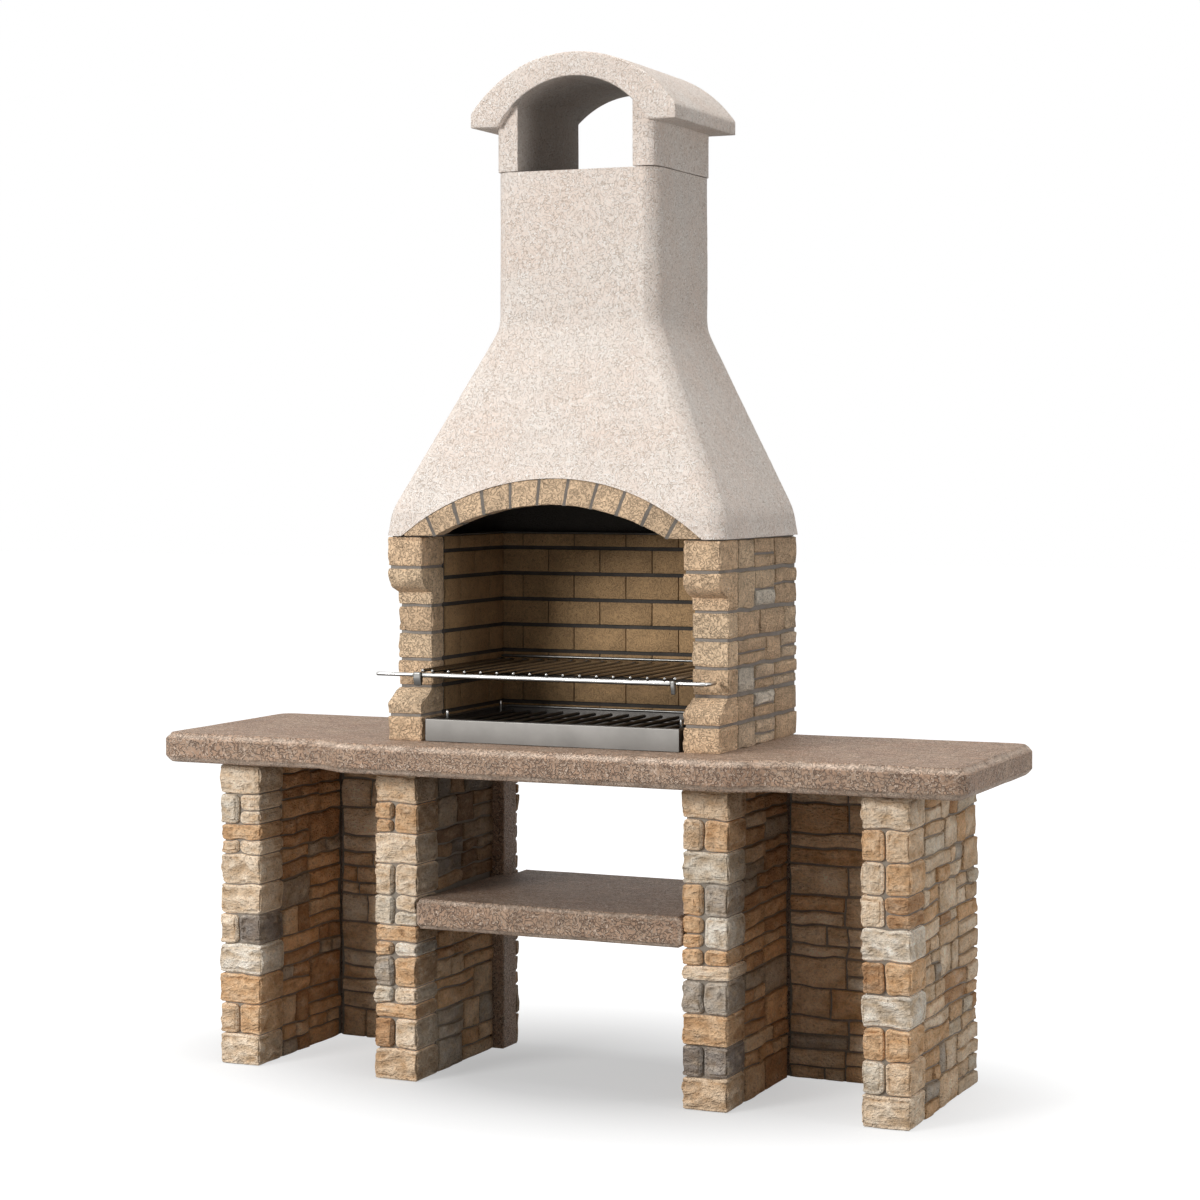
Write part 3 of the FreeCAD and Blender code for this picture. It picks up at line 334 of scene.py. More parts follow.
# thin stones of a wall: a rounded and cut front grid, one ring of sides and a flat back for each stone; u
# runs along the wall, v up and w out of it
def facingStones(name, node, axis, look, tones, finish, inwards=False):
    dice = np.random.default_rng(look["seed"] + len(name))
    low, high, facing = wallStones(node, axis, look, dice, inwards)
    run, count, size = 1 - axis, len(low), high - low
    rim, nu, nv = look["rim"], look["across"], look["rise"]
    u, v = rimmed(size[:, run], nu, rim)[:, :, None], rimmed(size[:, 2], nv, rim)[:, None]
    u, v = np.broadcast_arrays(u, v)
    long, tall, thick = (size[:, a, None, None] for a in (run, 2, axis))
    inner = gathered(np.clip(u, rim, long - rim), np.clip(v, rim, tall - rim), thick - rim)
    outward = unitLength(gathered(u, v, thick) - inner)
    unit = gathered(2 * u / long - 1, 2 * v / tall - 1, 0.0)
    spot = gathered(u, 0.0, v) + dice.random((count, 1, 1, 3)) * hewnSet["apart"]
    depth = np.minimum(hewnDepth(spot, outward, unit, look), look["deepest"])
    front = inner + outward * (rim - depth[..., None] * np.array(look["cutAlong"]))
    number = np.arange(nu * nv).reshape(nu, nv)
    loop = np.concatenate((number[:-1, 0], number[-1, :-1], number[:0:-1, -1], number[0, :0:-1]))
    ring = gathered(u, v, 0.0).reshape(count, -1, 3)[:, loop]
    local = np.concatenate((front.reshape(count, -1, 3), ring), axis=1)
    place = np.empty_like(local)
    place[..., run] = low[:, run, None] + local[..., 0]
    place[..., 2] = low[:, 2, None] + local[..., 1]
    place[..., axis] = np.where(facing[:, None] > 0, low[:, axis, None] + local[..., 2],
                                high[:, axis, None] - local[..., 2])
    back = nu * nv + np.arange(len(loop))
    band = np.stack((back, np.roll(back, -1), np.roll(loop, -1), loop), -1)
    quads = np.concatenate((gridQuads(number), band))
    start = (np.arange(count) * local.shape[1])[:, None, None]
    straight = (facing if axis == 0 else -facing)[:, None, None] > 0
    quads = np.where(straight, quads[None], quads[None, :, ::-1]) + start
    backs = np.where(straight[:, 0], back[None, ::-1], back[None]) + start[:, 0]
    faces = quads.reshape(-1, 4).tolist() + backs.tolist()
    relief = np.concatenate((depth.reshape(count, -1) / look["deepest"], np.ones((count, len(loop)))), axis=1)
    layers = {"tone": np.repeat(tones(low, high, dice), local.shape[1], axis=0), "relief": relief.ravel()}
    return addPiece(name, swayed(place, axis, look), faces, finish, [node], layers, look["crease"])


stoneTones = {"cream": (236, 217, 193), "ochre": (220, 184, 145), "tan": (225, 199, 169),
              "brown": (190, 152, 115), "grey": (184, 174, 162), "slate": (148, 139, 132),
              "pale": (222, 211, 194), "white": (236, 227, 213), "brick": (214, 183, 149),
              "paleBrick": (220, 192, 159), "archBrick": (197, 169, 138), "lining": (169, 137, 99)}
toneSpread = {"mixed": 0.18, "listed": 0.08}


# linear colours of words, each made a little lighter or darker by chance
def variedTones(words, spread, dice):
    colour = np.array([screenColour(*stoneTones[word]) for word in words])
    return colour * (1 + spread * (dice.random((len(colour), 1)) - 0.5))


# tones drawn at random by their weights, with a change of lightness from stone to stone
def mixedTones(weights):
    def draw(low, high, dice):
        words = list(weights)
        share = np.array([weights[word] for word in words], float)
        choice = dice.choice(len(words), len(low), p=share / share.sum())
        return variedTones([words[number] for number in choice], toneSpread["mixed"], dice)

    return draw


# tones read from a list of words, one for each block
def listedTones(words):
    def draw(low, high, dice):
        return variedTones(words.split(), toneSpread["listed"], dice)

    return draw


# material with an empty tree but for its shader and output
def newFinish(name, roughness, metallic=0.0):
    finish = bpy.data.materials.new(name)
    finish.use_nodes = True
    tree = finish.node_tree
    shader = tree.nodes["Principled BSDF"]
    shader.inputs["Roughness"].default_value = roughness
    shader.inputs["Metallic"].default_value = metallic
    return finish, tree, shader


# true for the output of a shader node, false for a plain value
def isLink(value):
    return isinstance(value, bpy.types.NodeSocket)


# one shader node, in the given tree or in that of its first link: settings go on the node, and a socket,
# which is named by its label or by s and its place, takes a value or a link
def lay(kind, settings=None, tree=None, **sockets):
    tree = tree or next(value.id_data for value in sockets.values() if isLink(value))
    item = tree.nodes.new("ShaderNode" + kind)
    for key, value in (settings or {}).items():
        setattr(item, key, value)
    for key, value in sockets.items():
        socket = item.inputs[int(key[1:])] if key[1:].isdigit() else item.inputs[key]
        if isLink(value):
            tree.links.new(value, socket)
        else:
            socket.default_value = value
    return item


# mix of two colours by a share; each may be a link
def blendColour(share, first, second, mode="MIX"):
    first, second = (value if isLink(value) else (*[float(part) for part in value], 1.0)
                     for value in (first, second))
    settings = {"data_type": "RGBA", "blend_type": mode}
    return lay("Mix", settings, s0=share, s6=first, s7=second).outputs[2]


# value carried in a straight line from one range to another
def span(value, low, high, toLow, toHigh):
    return lay("MapRange", {"clamp": True}, s0=value, s1=low, s2=high, s3=toLow, s4=toHigh).outputs[0]


# one sum of one or two values, as the mode says
def maths(mode, first, second=0.0):
    return lay("Math", {"operation": mode}, s0=first, s1=second).outputs[0]


# several values multiplied together
def product(first, *others):
    for other in others:
        first = maths("MULTIPLY", first, other)
    return first


# several values added up, each times its weight
def heap(*weighted):
    total = 0.0
    for value, weight in weighted:
        total = maths("ADD", maths("MULTIPLY", value, weight), total)
    return total


# how far a value is from its middle
def gapFrom(value, middle=0.5):
    return maths("ABSOLUTE", maths("SUBTRACT", value, middle))


# colour made lighter or darker by a value
def shaded(colour, light):
    grey = lay("CombineColor", Red=light, Green=light, Blue=light).outputs[0]
    return blendColour(1.0, colour, grey, "MULTIPLY")


# place on the object, times the stretch along each axis
def objectPlace(tree, stretch=(1, 1, 1)):
    place = lay("TexCoord", tree=tree).outputs["Object"]
    return lay("Mapping", Vector=place, Scale=stretch).outputs[0]


# what a mesh's layer of that name says at a point
def attributeOf(tree, name, output="Fac"):
    return lay("Attribute", {"attribute_name": name}, tree).outputs[output]


# noise 0..1 at a place; the scale is in cells for each metre
def noiseOf(place, scale, detail=2.0, rough=0.5):
    return lay("TexNoise", Vector=place, Scale=scale, Detail=detail, Roughness=rough).outputs[0]


# the noises of a finish by name; each is given as a stretch of the place, a scale, a detail and a roughness
def noiseLayers(tree, look):
    return {name: noiseOf(objectPlace(tree, stretch), *settings)
            for name, (stretch, *settings) in look["noise"].items()}


strokeLook = {"patches": 0.4, "patchShare": (0.3, 0.48, 0.45, 1.0), "apart": 0.9, "core": 0.3}


# curled strokes as if pressed in: a dark line and a pale one side by side where a noise passes its middle,
# each full at its core and gone at the width, and weak in patches; the pair is partly the material's own
# flecks and partly painted shade and painted light on the two sides of a pressed groove
def pressed(place, scale, width):
    value = noiseOf(place, scale, 1.0)
    patch = span(noiseOf(place, scale * strokeLook["patches"], 1.0), *strokeLook["patchShare"])
    apart = strokeLook["apart"] * width
    return [product(span(gapFrom(value, middle), width * strokeLook["core"], width, 1.0, 0.0), patch)
            for middle in (0.5 - apart, 0.5 + apart)]


# open pores: 1 near scattered points, kept where a broader noise is high
def pores(place, look):
    near = lay("TexVoronoi", {"feature": "F1"}, Vector=place, Scale=look["scale"]).outputs["Distance"]
    kept = span(noiseOf(place, look["patches"]), *look["kept"], 0.0, 1.0)
    return product(span(near, *look["size"], 1.0, 0.0), kept)


# colour shaded by the product of the lights: each carries a layer's low and high to two shares of lightness
def lit(colour, layers, look):
    return shaded(colour, product(*[span(layers[name], *ends) for name, ends in look["light"].items()]))


# the shader's colour, and its bump from the weighted sum of the layers
def dress(shader, colour, layers, look):
    links = shader.id_data.links
    links.new(colour, shader.inputs["Base Color"])
    height = heap(*[(layers[name], weight) for name, weight in look["height"].items()])
    bump = lay("Bump", Height=height, Strength=look["bump"], Distance=look["bumpDepth"])
    links.new(bump.outputs[0], shader.inputs["Normal"])


even = (1, 1, 1)  # no stretch
bedding = (1, 1, 1.9)  # layers that lie level
sandstoneLook = {
    "roughness": 0.9, "bump": 0.9, "bumpDepth": 0.009,
    "noise": {"cloud": (bedding, 30, 5, 0.62), "grain": (even, 380, 3, 0.65), "crest": (bedding, 52, 3, 0.55),
              "fine": (even, 120, 2, 0.55), "dust": (bedding, 19, 5, 0.65)},
    "dustShare": (0.5, 0.72, 0.0, 0.45), "warmRelief": (0.15, 0.85, 0.0, 0.55),
    "warmCloud": (0.42, 0.68, 0.0, 0.5),
    # painted light: relief darkens the deep-cut hollows as shade and lightens the raised faces, and crest and
    # fine lighten the bump's crests as highlights
    "light": {"grain": (0.25, 0.75, 0.9, 1.12), "crest": (0.0, 0.2, 1.18, 0.9),
              "fine": (0.0, 0.12, 1.1, 0.92), "relief": (0.1, 0.95, 1.2, 0.84)},
    "height": {"crest": -2.4, "fine": -1.3, "grain": 0.16, "cloud": 0.5},
}


# split sandstone: the tone of each block, warm in the hollows and dusty in patches, with bent crests along
# the bedding where a noise passes its middle; painted shade darkens the deep-cut hollows, painted light
# lightens the raised faces and painted highlights run along the crests
def sandstone(name, warmTint, dustTint):
    look = sandstoneLook
    finish, tree, shader = newFinish(name, look["roughness"])
    layers = noiseLayers(tree, look)
    for fold in ("crest", "fine"):
        layers[fold] = gapFrom(layers[fold])
    layers["relief"] = attributeOf(tree, "relief")
    dust = span(layers["dust"], *look["dustShare"])
    colour = blendColour(dust, attributeOf(tree, "tone", "Color"), dustTint)
    warm = maths("ADD", span(layers["relief"], *look["warmRelief"]),
                 span(layers["cloud"], *look["warmCloud"]))
    colour = blendColour(warm, colour, warmTint, "MULTIPLY")
    dress(shader, lit(colour, layers, look), layers, look)
    return finish


brickLook = {
    "roughness": 0.92, "bumpDepth": 0.005, "strokes": 135, "width": 0.05, "pitShare": 0.6,
    "noise": {"cloud": (even, 26, 4, 0.6), "grain": (even, 330, 3, 0.65)},
    "pores": {"scale": 120.0, "size": (0.1, 0.28), "patches": 60, "kept": (0.56, 0.64)},
    "height": {"grain": 0.4, "dark": -0.5, "pale": 0.3, "pore": -0.6, "cloud": 0.4},
}
brickLight = {"cloud": (0.28, 0.72, 0.9, 1.14), "grain": (0.25, 0.75, 0.88, 1.14)}
# painted light in both brick looks: relief darkens the hollows as shade and lightens the raised faces
tanBrickLook = {
    **brickLook, "bump": 1.0, "pit": screenColour(122, 92, 66),
    "light": {**brickLight, "relief": (0.15, 1.0, 1.14, 0.76), "dark": (0, 1, 1.04, 0.72),
              "pale": (0, 1, 1.0, 1.196)},
}
fireBrickLook = {
    **brickLook, "bump": 0.6, "pit": screenColour(84, 62, 44),
    "light": {**brickLight, "relief": (0.15, 1.0, 1.14, 0.72), "dark": (0, 1, 1.04, 0.8),
              "pale": (0, 1, 1.0, 1.14)},
}


# rough brick: a cloud of tone, curled light and dark strokes, sandy grain and a few dark pits, with painted
# shade in the deep-cut hollows and painted light on the raised faces
def sandyBrick(name, look):
    finish, tree, shader = newFinish(name, look["roughness"])
    place = objectPlace(tree)
    layers = noiseLayers(tree, look)
    layers["relief"] = attributeOf(tree, "relief")
    layers["dark"], layers["pale"] = pressed(place, look["strokes"], look["width"])
    layers["pore"] = pores(place, look["pores"])
    colour = lit(attributeOf(tree, "tone", "Color"), layers, look)
    colour = blendColour(product(layers["pore"], look["pitShare"]), colour, look["pit"])
    dress(shader, colour, layers, look)
    return finish


pointingLook = {
    "roughness": 0.95, "bump": 0.6, "bumpDepth": 0.002,
    "noise": {"grain": (even, 420, 3, 0.7), "cloud": (even, 22, 4, 0.6)},
    "paleShare": {"grain": (0.3, 0.7, 0.0, 0.5), "cloud": (0.3, 0.7, 0.0, 0.5)},
    "height": {"grain": 1.0},
}
concreteLook = {
    "roughness": 0.93, "bump": 0.8, "bumpDepth": 0.005,
    "noise": {"cloud": (even, 5, 6, 0.68), "sweep": ((1, 1, 0.3), 18, 4, 0.6), "grain": (even, 300, 3, 0.7)},
    "pores": {"scale": 95.0, "size": (0.08, 0.26), "patches": 40, "kept": (0.5, 0.62)},
    "paleShare": {"cloud": (0.3, 0.7, 0.0, 0.6), "sweep": (0.3, 0.7, 0.0, 0.4)},
    "light": {"grain": (0.25, 0.75, 0.88, 1.1), "pore": (0, 1, 1.0, 0.6)},
    "height": {"grain": 0.35, "sweep": 0.6, "cloud": 0.8, "pore": -0.7},
}


# cement between a dark and a pale tone by the sum of two noises: pointing has only sand in it, and
# trowelled concrete has upright sweeps and open pores
def cement(name, look, pale, dark):
    finish, tree, shader = newFinish(name, look["roughness"])
    layers = noiseLayers(tree, look)
    share = maths("ADD", *[span(layers[layer], *ends) for layer, ends in look["paleShare"].items()])
    colour = blendColour(share, screenColour(*dark), screenColour(*pale))
    if "pores" in look:
        layers["pore"] = pores(objectPlace(tree), look["pores"])
        colour = lit(colour, layers, look)
    dress(shader, colour, layers, look)
    return finish


castLook = {
    "bumpDepth": 0.0045, "cloudShare": (0.35, 0.65, 0.0, 1.0), "rubShare": (0.38, 0.62, 0.25, 1.0),
    "noise": {"cloud": (even, 8, 5, 0.65), "grain": (even, 480, 2, 0.6), "rub": (even, 24, 5, 0.7),
              "mottle": ((0.6, 1, 1), 34, 3, 0.6)},
    "height": {"grain": 0.3, "pale": 0.45, "dark": -0.6, "cloud": 0.5}, "soot": screenColour(50, 46, 41),
}
castGrain = (0.25, 0.75, 0.9, 1.08)
creamLook = {
    **castLook, "base": screenColour(233, 222, 212), "warm": screenColour(231, 214, 201),
    "dark": screenColour(168, 147, 128), "pale": screenColour(252, 248, 243),
    "darkShare": 0.6, "paleShare": 0.7, "strokes": 150, "width": 0.045, "roughness": 0.88, "bump": 0.55,
    "light": {"grain": castGrain, "mottle": (0.32, 0.68, 0.97, 1.03)},
}
brownLook = {
    **castLook, "base": screenColour(178, 149, 125), "warm": screenColour(166, 132, 107),
    "dark": screenColour(84, 62, 47), "pale": screenColour(228, 206, 186),
    "darkShare": 0.68, "paleShare": 0.66, "strokes": 132, "width": 0.05, "roughness": 0.6, "bump": 0.95,
    "light": {"grain": castGrain, "mottle": (0.32, 0.68, 0.85, 1.15)},
}


# cast stone: short curled strokes, dark and light, over a cloudy ground; worn edges show a pale tone, and
# a dark tone of soot and painted shade covers what its attribute says
def fleckedCast(name, look):
    finish, tree, shader = newFinish(name, look["roughness"])
    layers = noiseLayers(tree, look)
    layers["dark"], layers["pale"] = pressed(objectPlace(tree), look["strokes"], look["width"])
    colour = blendColour(span(layers["cloud"], *look["cloudShare"]), look["base"], look["warm"])
    colour = blendColour(product(layers["pale"], look["paleShare"]), colour, look["pale"])
    colour = blendColour(product(layers["dark"], look["darkShare"]), colour, look["dark"])
    rubbed = product(attributeOf(tree, "wear"), span(layers["rub"], *look["rubShare"]))
    colour = lit(blendColour(rubbed, colour, look["pale"]), layers, look)
    colour = blendColour(attributeOf(tree, "soot"), colour, look["soot"])
    dress(shader, colour, layers, look)
    return finish


steelLook = {"fine": (60, 4, 0.6), "smear": (14, 3, 0.6), "range": (0.3, 0.7), "smeared": 0.82,
             "smoke": (0.03, 0.027, 0.024), "bumpDepth": 0.0006, "height": {"fine": 1.0}}


# steel: fine scratches in the roughness, faint smears in the colour, darkened by smoke and painted shade
# where its attribute says
def steel(name, colour, rough, stretch, bump):
    look = {**steelLook, "bump": bump, "noise": {"fine": (stretch, *steelLook["fine"]),
                                                 "smear": (even, *steelLook["smear"])}}
    finish, tree, shader = newFinish(name, rough[0], 1.0)
    layers = noiseLayers(tree, look)
    tree.links.new(span(layers["fine"], *look["range"], *rough), shader.inputs["Roughness"])
    clean = span(layers["smear"], *look["range"], 0.0, 1.0)
    tint = blendColour(clean, np.array(colour) * look["smeared"], colour)
    dress(shader, blendColour(attributeOf(tree, "smoke"), tint, look["smoke"]), layers, look)
    return finish


# name of the material, look, pale tone and dark tone
cements = {
    "pointing": ("greyPointing", pointingLook, (160, 153, 146), (121, 114, 106)),
    "deepPointing": ("deepPointing", pointingLook, (168, 158, 146), (126, 116, 104)),
    "archPointing": ("archPointing", pointingLook, (126, 118, 110), (90, 83, 76)),
    "sootyPointing": ("sootyPointing", pointingLook, (84, 79, 74), (54, 50, 46)),
    "concrete": ("castConcrete", concreteLook, (214, 204, 190), (166, 154, 140)),
}
# name of the material, linear colour, range of roughness, stretch of the scratches and bump
steels = {
    "sheet": ("brushedSheet", (0.17, 0.161, 0.15), (0.4, 0.54), (1, 30, 60), 0.05),
    "pan": ("darkSheet", (0.16, 0.15, 0.14), (0.4, 0.6), (4, 4, 4), 0.1),
    "rail": ("satinRail", (0.66, 0.65, 0.63), (0.16, 0.3), (2, 40, 40), 0.04),
    "dullRail": ("dullRail", (0.22, 0.215, 0.205), (0.32, 0.46), (2, 40, 40), 0.05),
    "chrome": ("chromedRod", (0.4, 0.39, 0.375), (0.14, 0.26), (20, 2, 20), 0.03),
    "black": ("blackenedRod", (0.11, 0.105, 0.1), (0.35, 0.6), (10, 10, 10), 0.3),
}
finishes = {
    "sandstone": sandstone("splitSandstone", (0.8, 0.64, 0.47), screenColour(234, 222, 204)),
    # painted shade: a darker copy of the sandstone for the inner legs' stones and the back panels, which
    # stand in the bays
    "shadeStone": sandstone("shadedSandstone", (0.8, 0.66, 0.5), screenColour(214, 196, 170)),
    "tanBrick": sandyBrick("sandyTanBrick", tanBrickLook),
    "fireBrick": sandyBrick("fireboxBrick", fireBrickLook),
    "cream": fleckedCast("creamCast", creamLook),
    "brown": fleckedCast("brownCast", brownLook),
    **{use: cement(*settings) for use, settings in cements.items()},
    **{use: steel(*settings) for use, settings in steels.items()},
}
print("finishes:", len(finishes))


# legs, back panels and cheeks: rough stones in the place of the CAD stones
quoinLook = {"counts": (23, 21, 17), "rim": 0.0105, "proud": 0.0065, "sideProud": 0.6, "uneven": 0.004,
             "unevenIn": 0.25, "closeRun": 0.0013, "closeRise": 0.0013, "sideCut": 0.85, "jointCut": 0.12,
             "pillow": 0.0045, "pillowPower": 3.5, "ridge": 0.0085, "ridgeGrain": (0.05, 0.05, 0.024),
             "facet": 0.004, "facetGrain": (0.03, 0.03, 0.02), "chip": 0.0042, "chipGrain": 0.0115,
             "knock": 0.006, "knockGrain": 0.017, "warp": 0.016, "warpGrain": 0.04, "deepest": 0.0118,
             "sway": 0.0028, "swayGrain": 0.03, "seed": 5, "crease": 32}
facingLook = {"across": 8, "rise": 6, "rim": 0.0045, "proud": 0.0035, "uneven": 0.005, "closeRun": 0.0014,
              "closeRise": 0.0014, "ends": 0.002, "twoSkins": 2.5, "splitLevel": 0.55, "tall": 0.045,
              "splitAcross": 0.3, "long": 0.085, "cutFrom": 0.36, "cutRange": 0.28, "joint": 0.002,
              "cutAlong": (0.2, 0.2, 1.0), "pillow": 0.0026, "pillowPower": 4.0, "ridge": 0.0055,
              "ridgeGrain": (0.06, 0.06, 0.018), "facet": 0.003, "facetGrain": (0.04, 0.04, 0.024),
              "chip": 0.001, "chipGrain": 0.016, "knock": 0.003, "knockGrain": 0.02, "warp": 0.012,
              "warpGrain": 0.045, "deepest": 0.0074, "sway": 0.0046, "swayGrain": 0.045, "seed": 11,
              "crease": 45}
panelLook = {**facingLook, "ends": 0.013}
cheekLook = {**facingLook, "closeRun": -0.0004, "closeRise": 0.0017, "ends": 0.0, "splitLevel": 0.3,
             "splitAcross": 0.0, "uneven": 0.003, "sway": 0.0024, "seed": 17}
liningLook = {**facingLook, "across": 6, "rise": 5, "rim": 0.0022, "proud": 0.001, "uneven": 0.0,
              "closeRun": 0.0041, "closeRise": 0.0008, "ends": 0.0, "splitLevel": 0.0, "splitAcross": 0.0,
              "pillow": 0.0008, "pillowPower": 5.0, "ridge": 0.0006, "ridgeGrain": 0.04, "facet": 0.0008,
              "facetGrain": 0.03, "chip": 0.0, "knock": 0.001, "knockGrain": 0.03, "deepest": 0.003,
              "sway": 0.0, "seed": 23, "crease": 50}
quoinTones = {
    "left_outer_leg": "cream pale cream cream tan ochre cream cream cream cream slate white ochre tan ochre "
                      "cream",
    "left_inner_leg": "tan ochre ochre ochre cream cream cream pale cream pale ochre ochre white grey ochre "
                      "pale ochre cream brown cream tan",
    "right_inner_leg": "tan tan ochre pale ochre grey ochre ochre white ochre cream ochre grey grey ochre "
                       "slate slate tan",
    "right_outer_leg": "cream ochre tan cream ochre cream brown brown white brown ochre white ochre ochre "
                       "pale tan cream",
}
# painted shade: the bays' stones are drawn from darker tones than those of the open sides
shadedBayTones = {"tan": 4, "ochre": 4, "brown": 4, "cream": 1, "grey": 1.4}
openTones = {"tan": 4, "ochre": 3, "brown": 1, "cream": 3, "grey": 1.4, "pale": 2.4, "slate": 0.4}
panelTones = {"tan": 5, "cream": 4, "ochre": 3, "pale": 1.5, "grey": 1}
cheekTones = {"brick": 6, "paleBrick": 2, "tan": 2, "pale": 0.8}
liningTones = {"lining": 1}
outerSides = {"left_outer_leg": -1, "right_outer_leg": 1}
# painted shade: shares by which the right sides in the bays are darkened towards the top
bayPaintedShade = {"left_inner_leg": 0.55, "right_inner_leg": 0.25}  # right sides are darker in the photograph
bayShadeRise = (0.25, 0.5)  # heights between which that sets in
# painted shade: shares by which the quoins' faces that look right are darkened
quoinPaintedShade = {"left_outer_leg": 0.3, "left_inner_leg": 0.6, "right_inner_leg": 0.4}
courseHeight = 0.069


# quoins from the top course down, and in a course from left to right, then from top to bottom
def courseOrder(low, high):
    middle = (low + high) / 2
    return np.lexsort((-middle[:, 2], np.round(middle[:, 0], 3), -np.floor(middle[:, 2] / courseHeight)))


# which of a leg's quoins are open on their left and right
def openSides(low, high):
    atLow = low[:, 0] - low[:, 0].min() < hewnSet["sameEdge"]
    return atLow, high[:, 0].max() - high[:, 0] < hewnSet["sameEdge"]


# how much of the cut each face of a quoin takes: all on the front, most on an open side, little in the
# joints and none on the back
def quoinKeep(low, high):
    openLeft, openRight = openSides(low, high)

    def share(outward):
        x, y, z = np.moveaxis(outward ** 2, -1, 0)
        sideOpen = np.where(outward[..., 0] < 0, openLeft[:, None], openRight[:, None])
        onSide = np.where(sideOpen, quoinLook["sideCut"], quoinLook["jointCut"])
        return y * (outward[..., 1] < 0) + x * onSide + z * quoinLook["jointCut"]

    return share


# boxes of the quoins grown to the front and the open sides, and a little into the joints
def quoinRoom(low, high):
    openLeft, openRight = openSides(low, high)
    proud, uneven, run, rise = (quoinLook[key] for key in ("proud", "uneven", "closeRun", "closeRise"))
    bulge, side = np.random.default_rng(quoinLook["seed"]).random((2, len(low))) * uneven
    aside = quoinLook["sideProud"] * proud + side
    front = proud + bulge - uneven * quoinLook["unevenIn"]
    low = low - gathered(np.where(openLeft, aside, run), front, rise)
    high = high + gathered(np.where(openRight, aside, run), run, rise)
    low[:, 2] = np.maximum(low[:, 2], hewnSet["floorGap"])
    return low, high


# tones by the side that a stone is on: a darker set in the bays, as painted shade, another on the outer side;
# the paintedShade share darkens the right side towards the top, also as painted shade
def sidedTones(outerSide, paintedShade):
    def draw(low, high, dice):
        middle = (low + high) / 2
        right = middle[:, 0] - middle[:, 0].mean()
        # painted shade: the bays' right sides are darker towards the top
        shade = 1 - paintedShade * softStep(middle[:, 2], *bayShadeRise) * (right > 0)
        bay = mixedTones(shadedBayTones)(low, high, dice)
        outside = mixedTones(openTones)(low, high, dice)
        return np.where((right * outerSide > 0)[:, None], outside, bay * shade[:, None])

    return draw


for leg, words in quoinTones.items():
    outerSide, paintedShade = outerSides.get(leg, 0), bayPaintedShade.get(leg, 0)
    hewnBlocks(camel(leg) + "Quoins", leg + "_quoins", quoinLook, listedTones(words), "sandstone", quoinKeep,
               quoinRoom, courseOrder, paintedShade=quoinPaintedShade.get(leg, 0))
    facingStones(camel(leg) + "Stones", leg + "_stones", 0, facingLook, sidedTones(outerSide, paintedShade),
                 "sandstone" if outerSide else "shadeStone")
for side in sides:
    facingStones(side + "PanelStones", side + "_back_panel_stones", 1, panelLook, mixedTones(panelTones),
                 "shadeStone")
    facingStones(side + "CheekStones", side + "_cheek_stones", 0, cheekLook, mixedTones(cheekTones),
                 "tanBrick")
    facingStones(side + "LiningBricks", side + "_lining_bricks", 0, liningLook, mixedTones(liningTones),
                 "fireBrick", inwards=True)
facingStones("backLiningBricks", "back_lining_bricks", 1, liningLook, mixedTones(liningTones), "fireBrick",
             inwards=True)
print("stone faces done")


# mortar that fills the joints to a few millimetres behind the stones; the panels' fill stops short of the
# legs, and the CAD beds of the piers lie pierBed behind the blocks
jointFill = {"quoin": 0.0078, "stone": 0.0076, "cheek": 0.0066, "lining": 0.005, "pier": 0.0045,
             "pierBed": 0.008, "toPier": -0.012, "level": 0.002, "close": 0.001, "panelOuter": 0.016,
             "panelInner": 0.132, "panelBack": 0.02, "counts": (6, 6, 6), "rim": 0.001}


# one piece of several rounded boxes
def fillPiece(name, boxes, finish, stands=()):
    low, high = np.array([box[0] for box in boxes]), np.array([box[1] for box in boxes])
    point, outward, half, centre, faces = roundedBlocks(low, high, jointFill["counts"], jointFill["rim"])
    return addPiece(name, point + centre, faces, finish, stands, like="pier_bed_mortar")


# a node's box with each side drawn in
def shrunk(node, fromLow, fromHigh):
    low, high = boxOf(node)
    return low + np.array(fromLow), high - np.array(fromHigh)


boxes = []
deep, shallow, level, close = (jointFill[key] for key in ("quoin", "stone", "level", "close"))
for leg in quoinTones:
    boxes.append(shrunk(leg + "_quoins", (deep, deep, level), (deep, 0, level)))
    boxes.append(shrunk(leg + "_stones", (shallow, 0, level), (shallow, level, level)))
for side, ends in (("left", ("panelOuter", "panelInner")), ("right", ("panelInner", "panelOuter"))):
    low, high = boxOf(side + "_back_panel_stones")
    coreLow, coreHigh = boxOf(side + "_back_panel_core")
    fromLow, fromHigh = (jointFill[end] for end in ends)
    boxes.append((np.array((coreLow[0] + fromLow, low[1] + shallow, level)),
                  np.array((coreHigh[0] - fromHigh, coreLow[1] + close, high[2] - level))))
    boxes.append((np.array((coreLow[0] + jointFill["panelBack"], coreHigh[1] - close, level)),
                  np.array((coreHigh[0] - jointFill["panelBack"], high[1] - shallow, high[2] - level))))
fillPiece("legMortar", boxes, "deepPointing", ["leg_bed_mortar"])

cheeks, linings = [], []
for side in sides:
    for node, depth, group in ((side + "_cheek_stones", jointFill["cheek"], cheeks),
                               (side + "_lining_bricks", jointFill["lining"], linings)):
        openHigh = (side == "right") == node.endswith("stones")
        fromLow, fromHigh = (0, depth) if openHigh else (depth, 0)
        group.append(shrunk(node, (fromLow, jointFill["toPier"], close), (fromHigh, close, close)))
linings.append(shrunk("back_lining_bricks", (close, jointFill["lining"], close), (close, 0, close)))
fillPiece("cheekMortar", cheeks, "pointing")
fillPiece("liningMortar", linings, "sootyPointing")
low, high = solidBoxes("pier_bed_mortar")
grow = jointFill["pierBed"] - jointFill["pier"]
beds = list(zip(low - np.array((grow, grow, 0)), high + np.array((grow, 0, 0))))
fillPiece("pierMortar", beds, "pointing", ["pier_bed_mortar"])
print("mortar done")


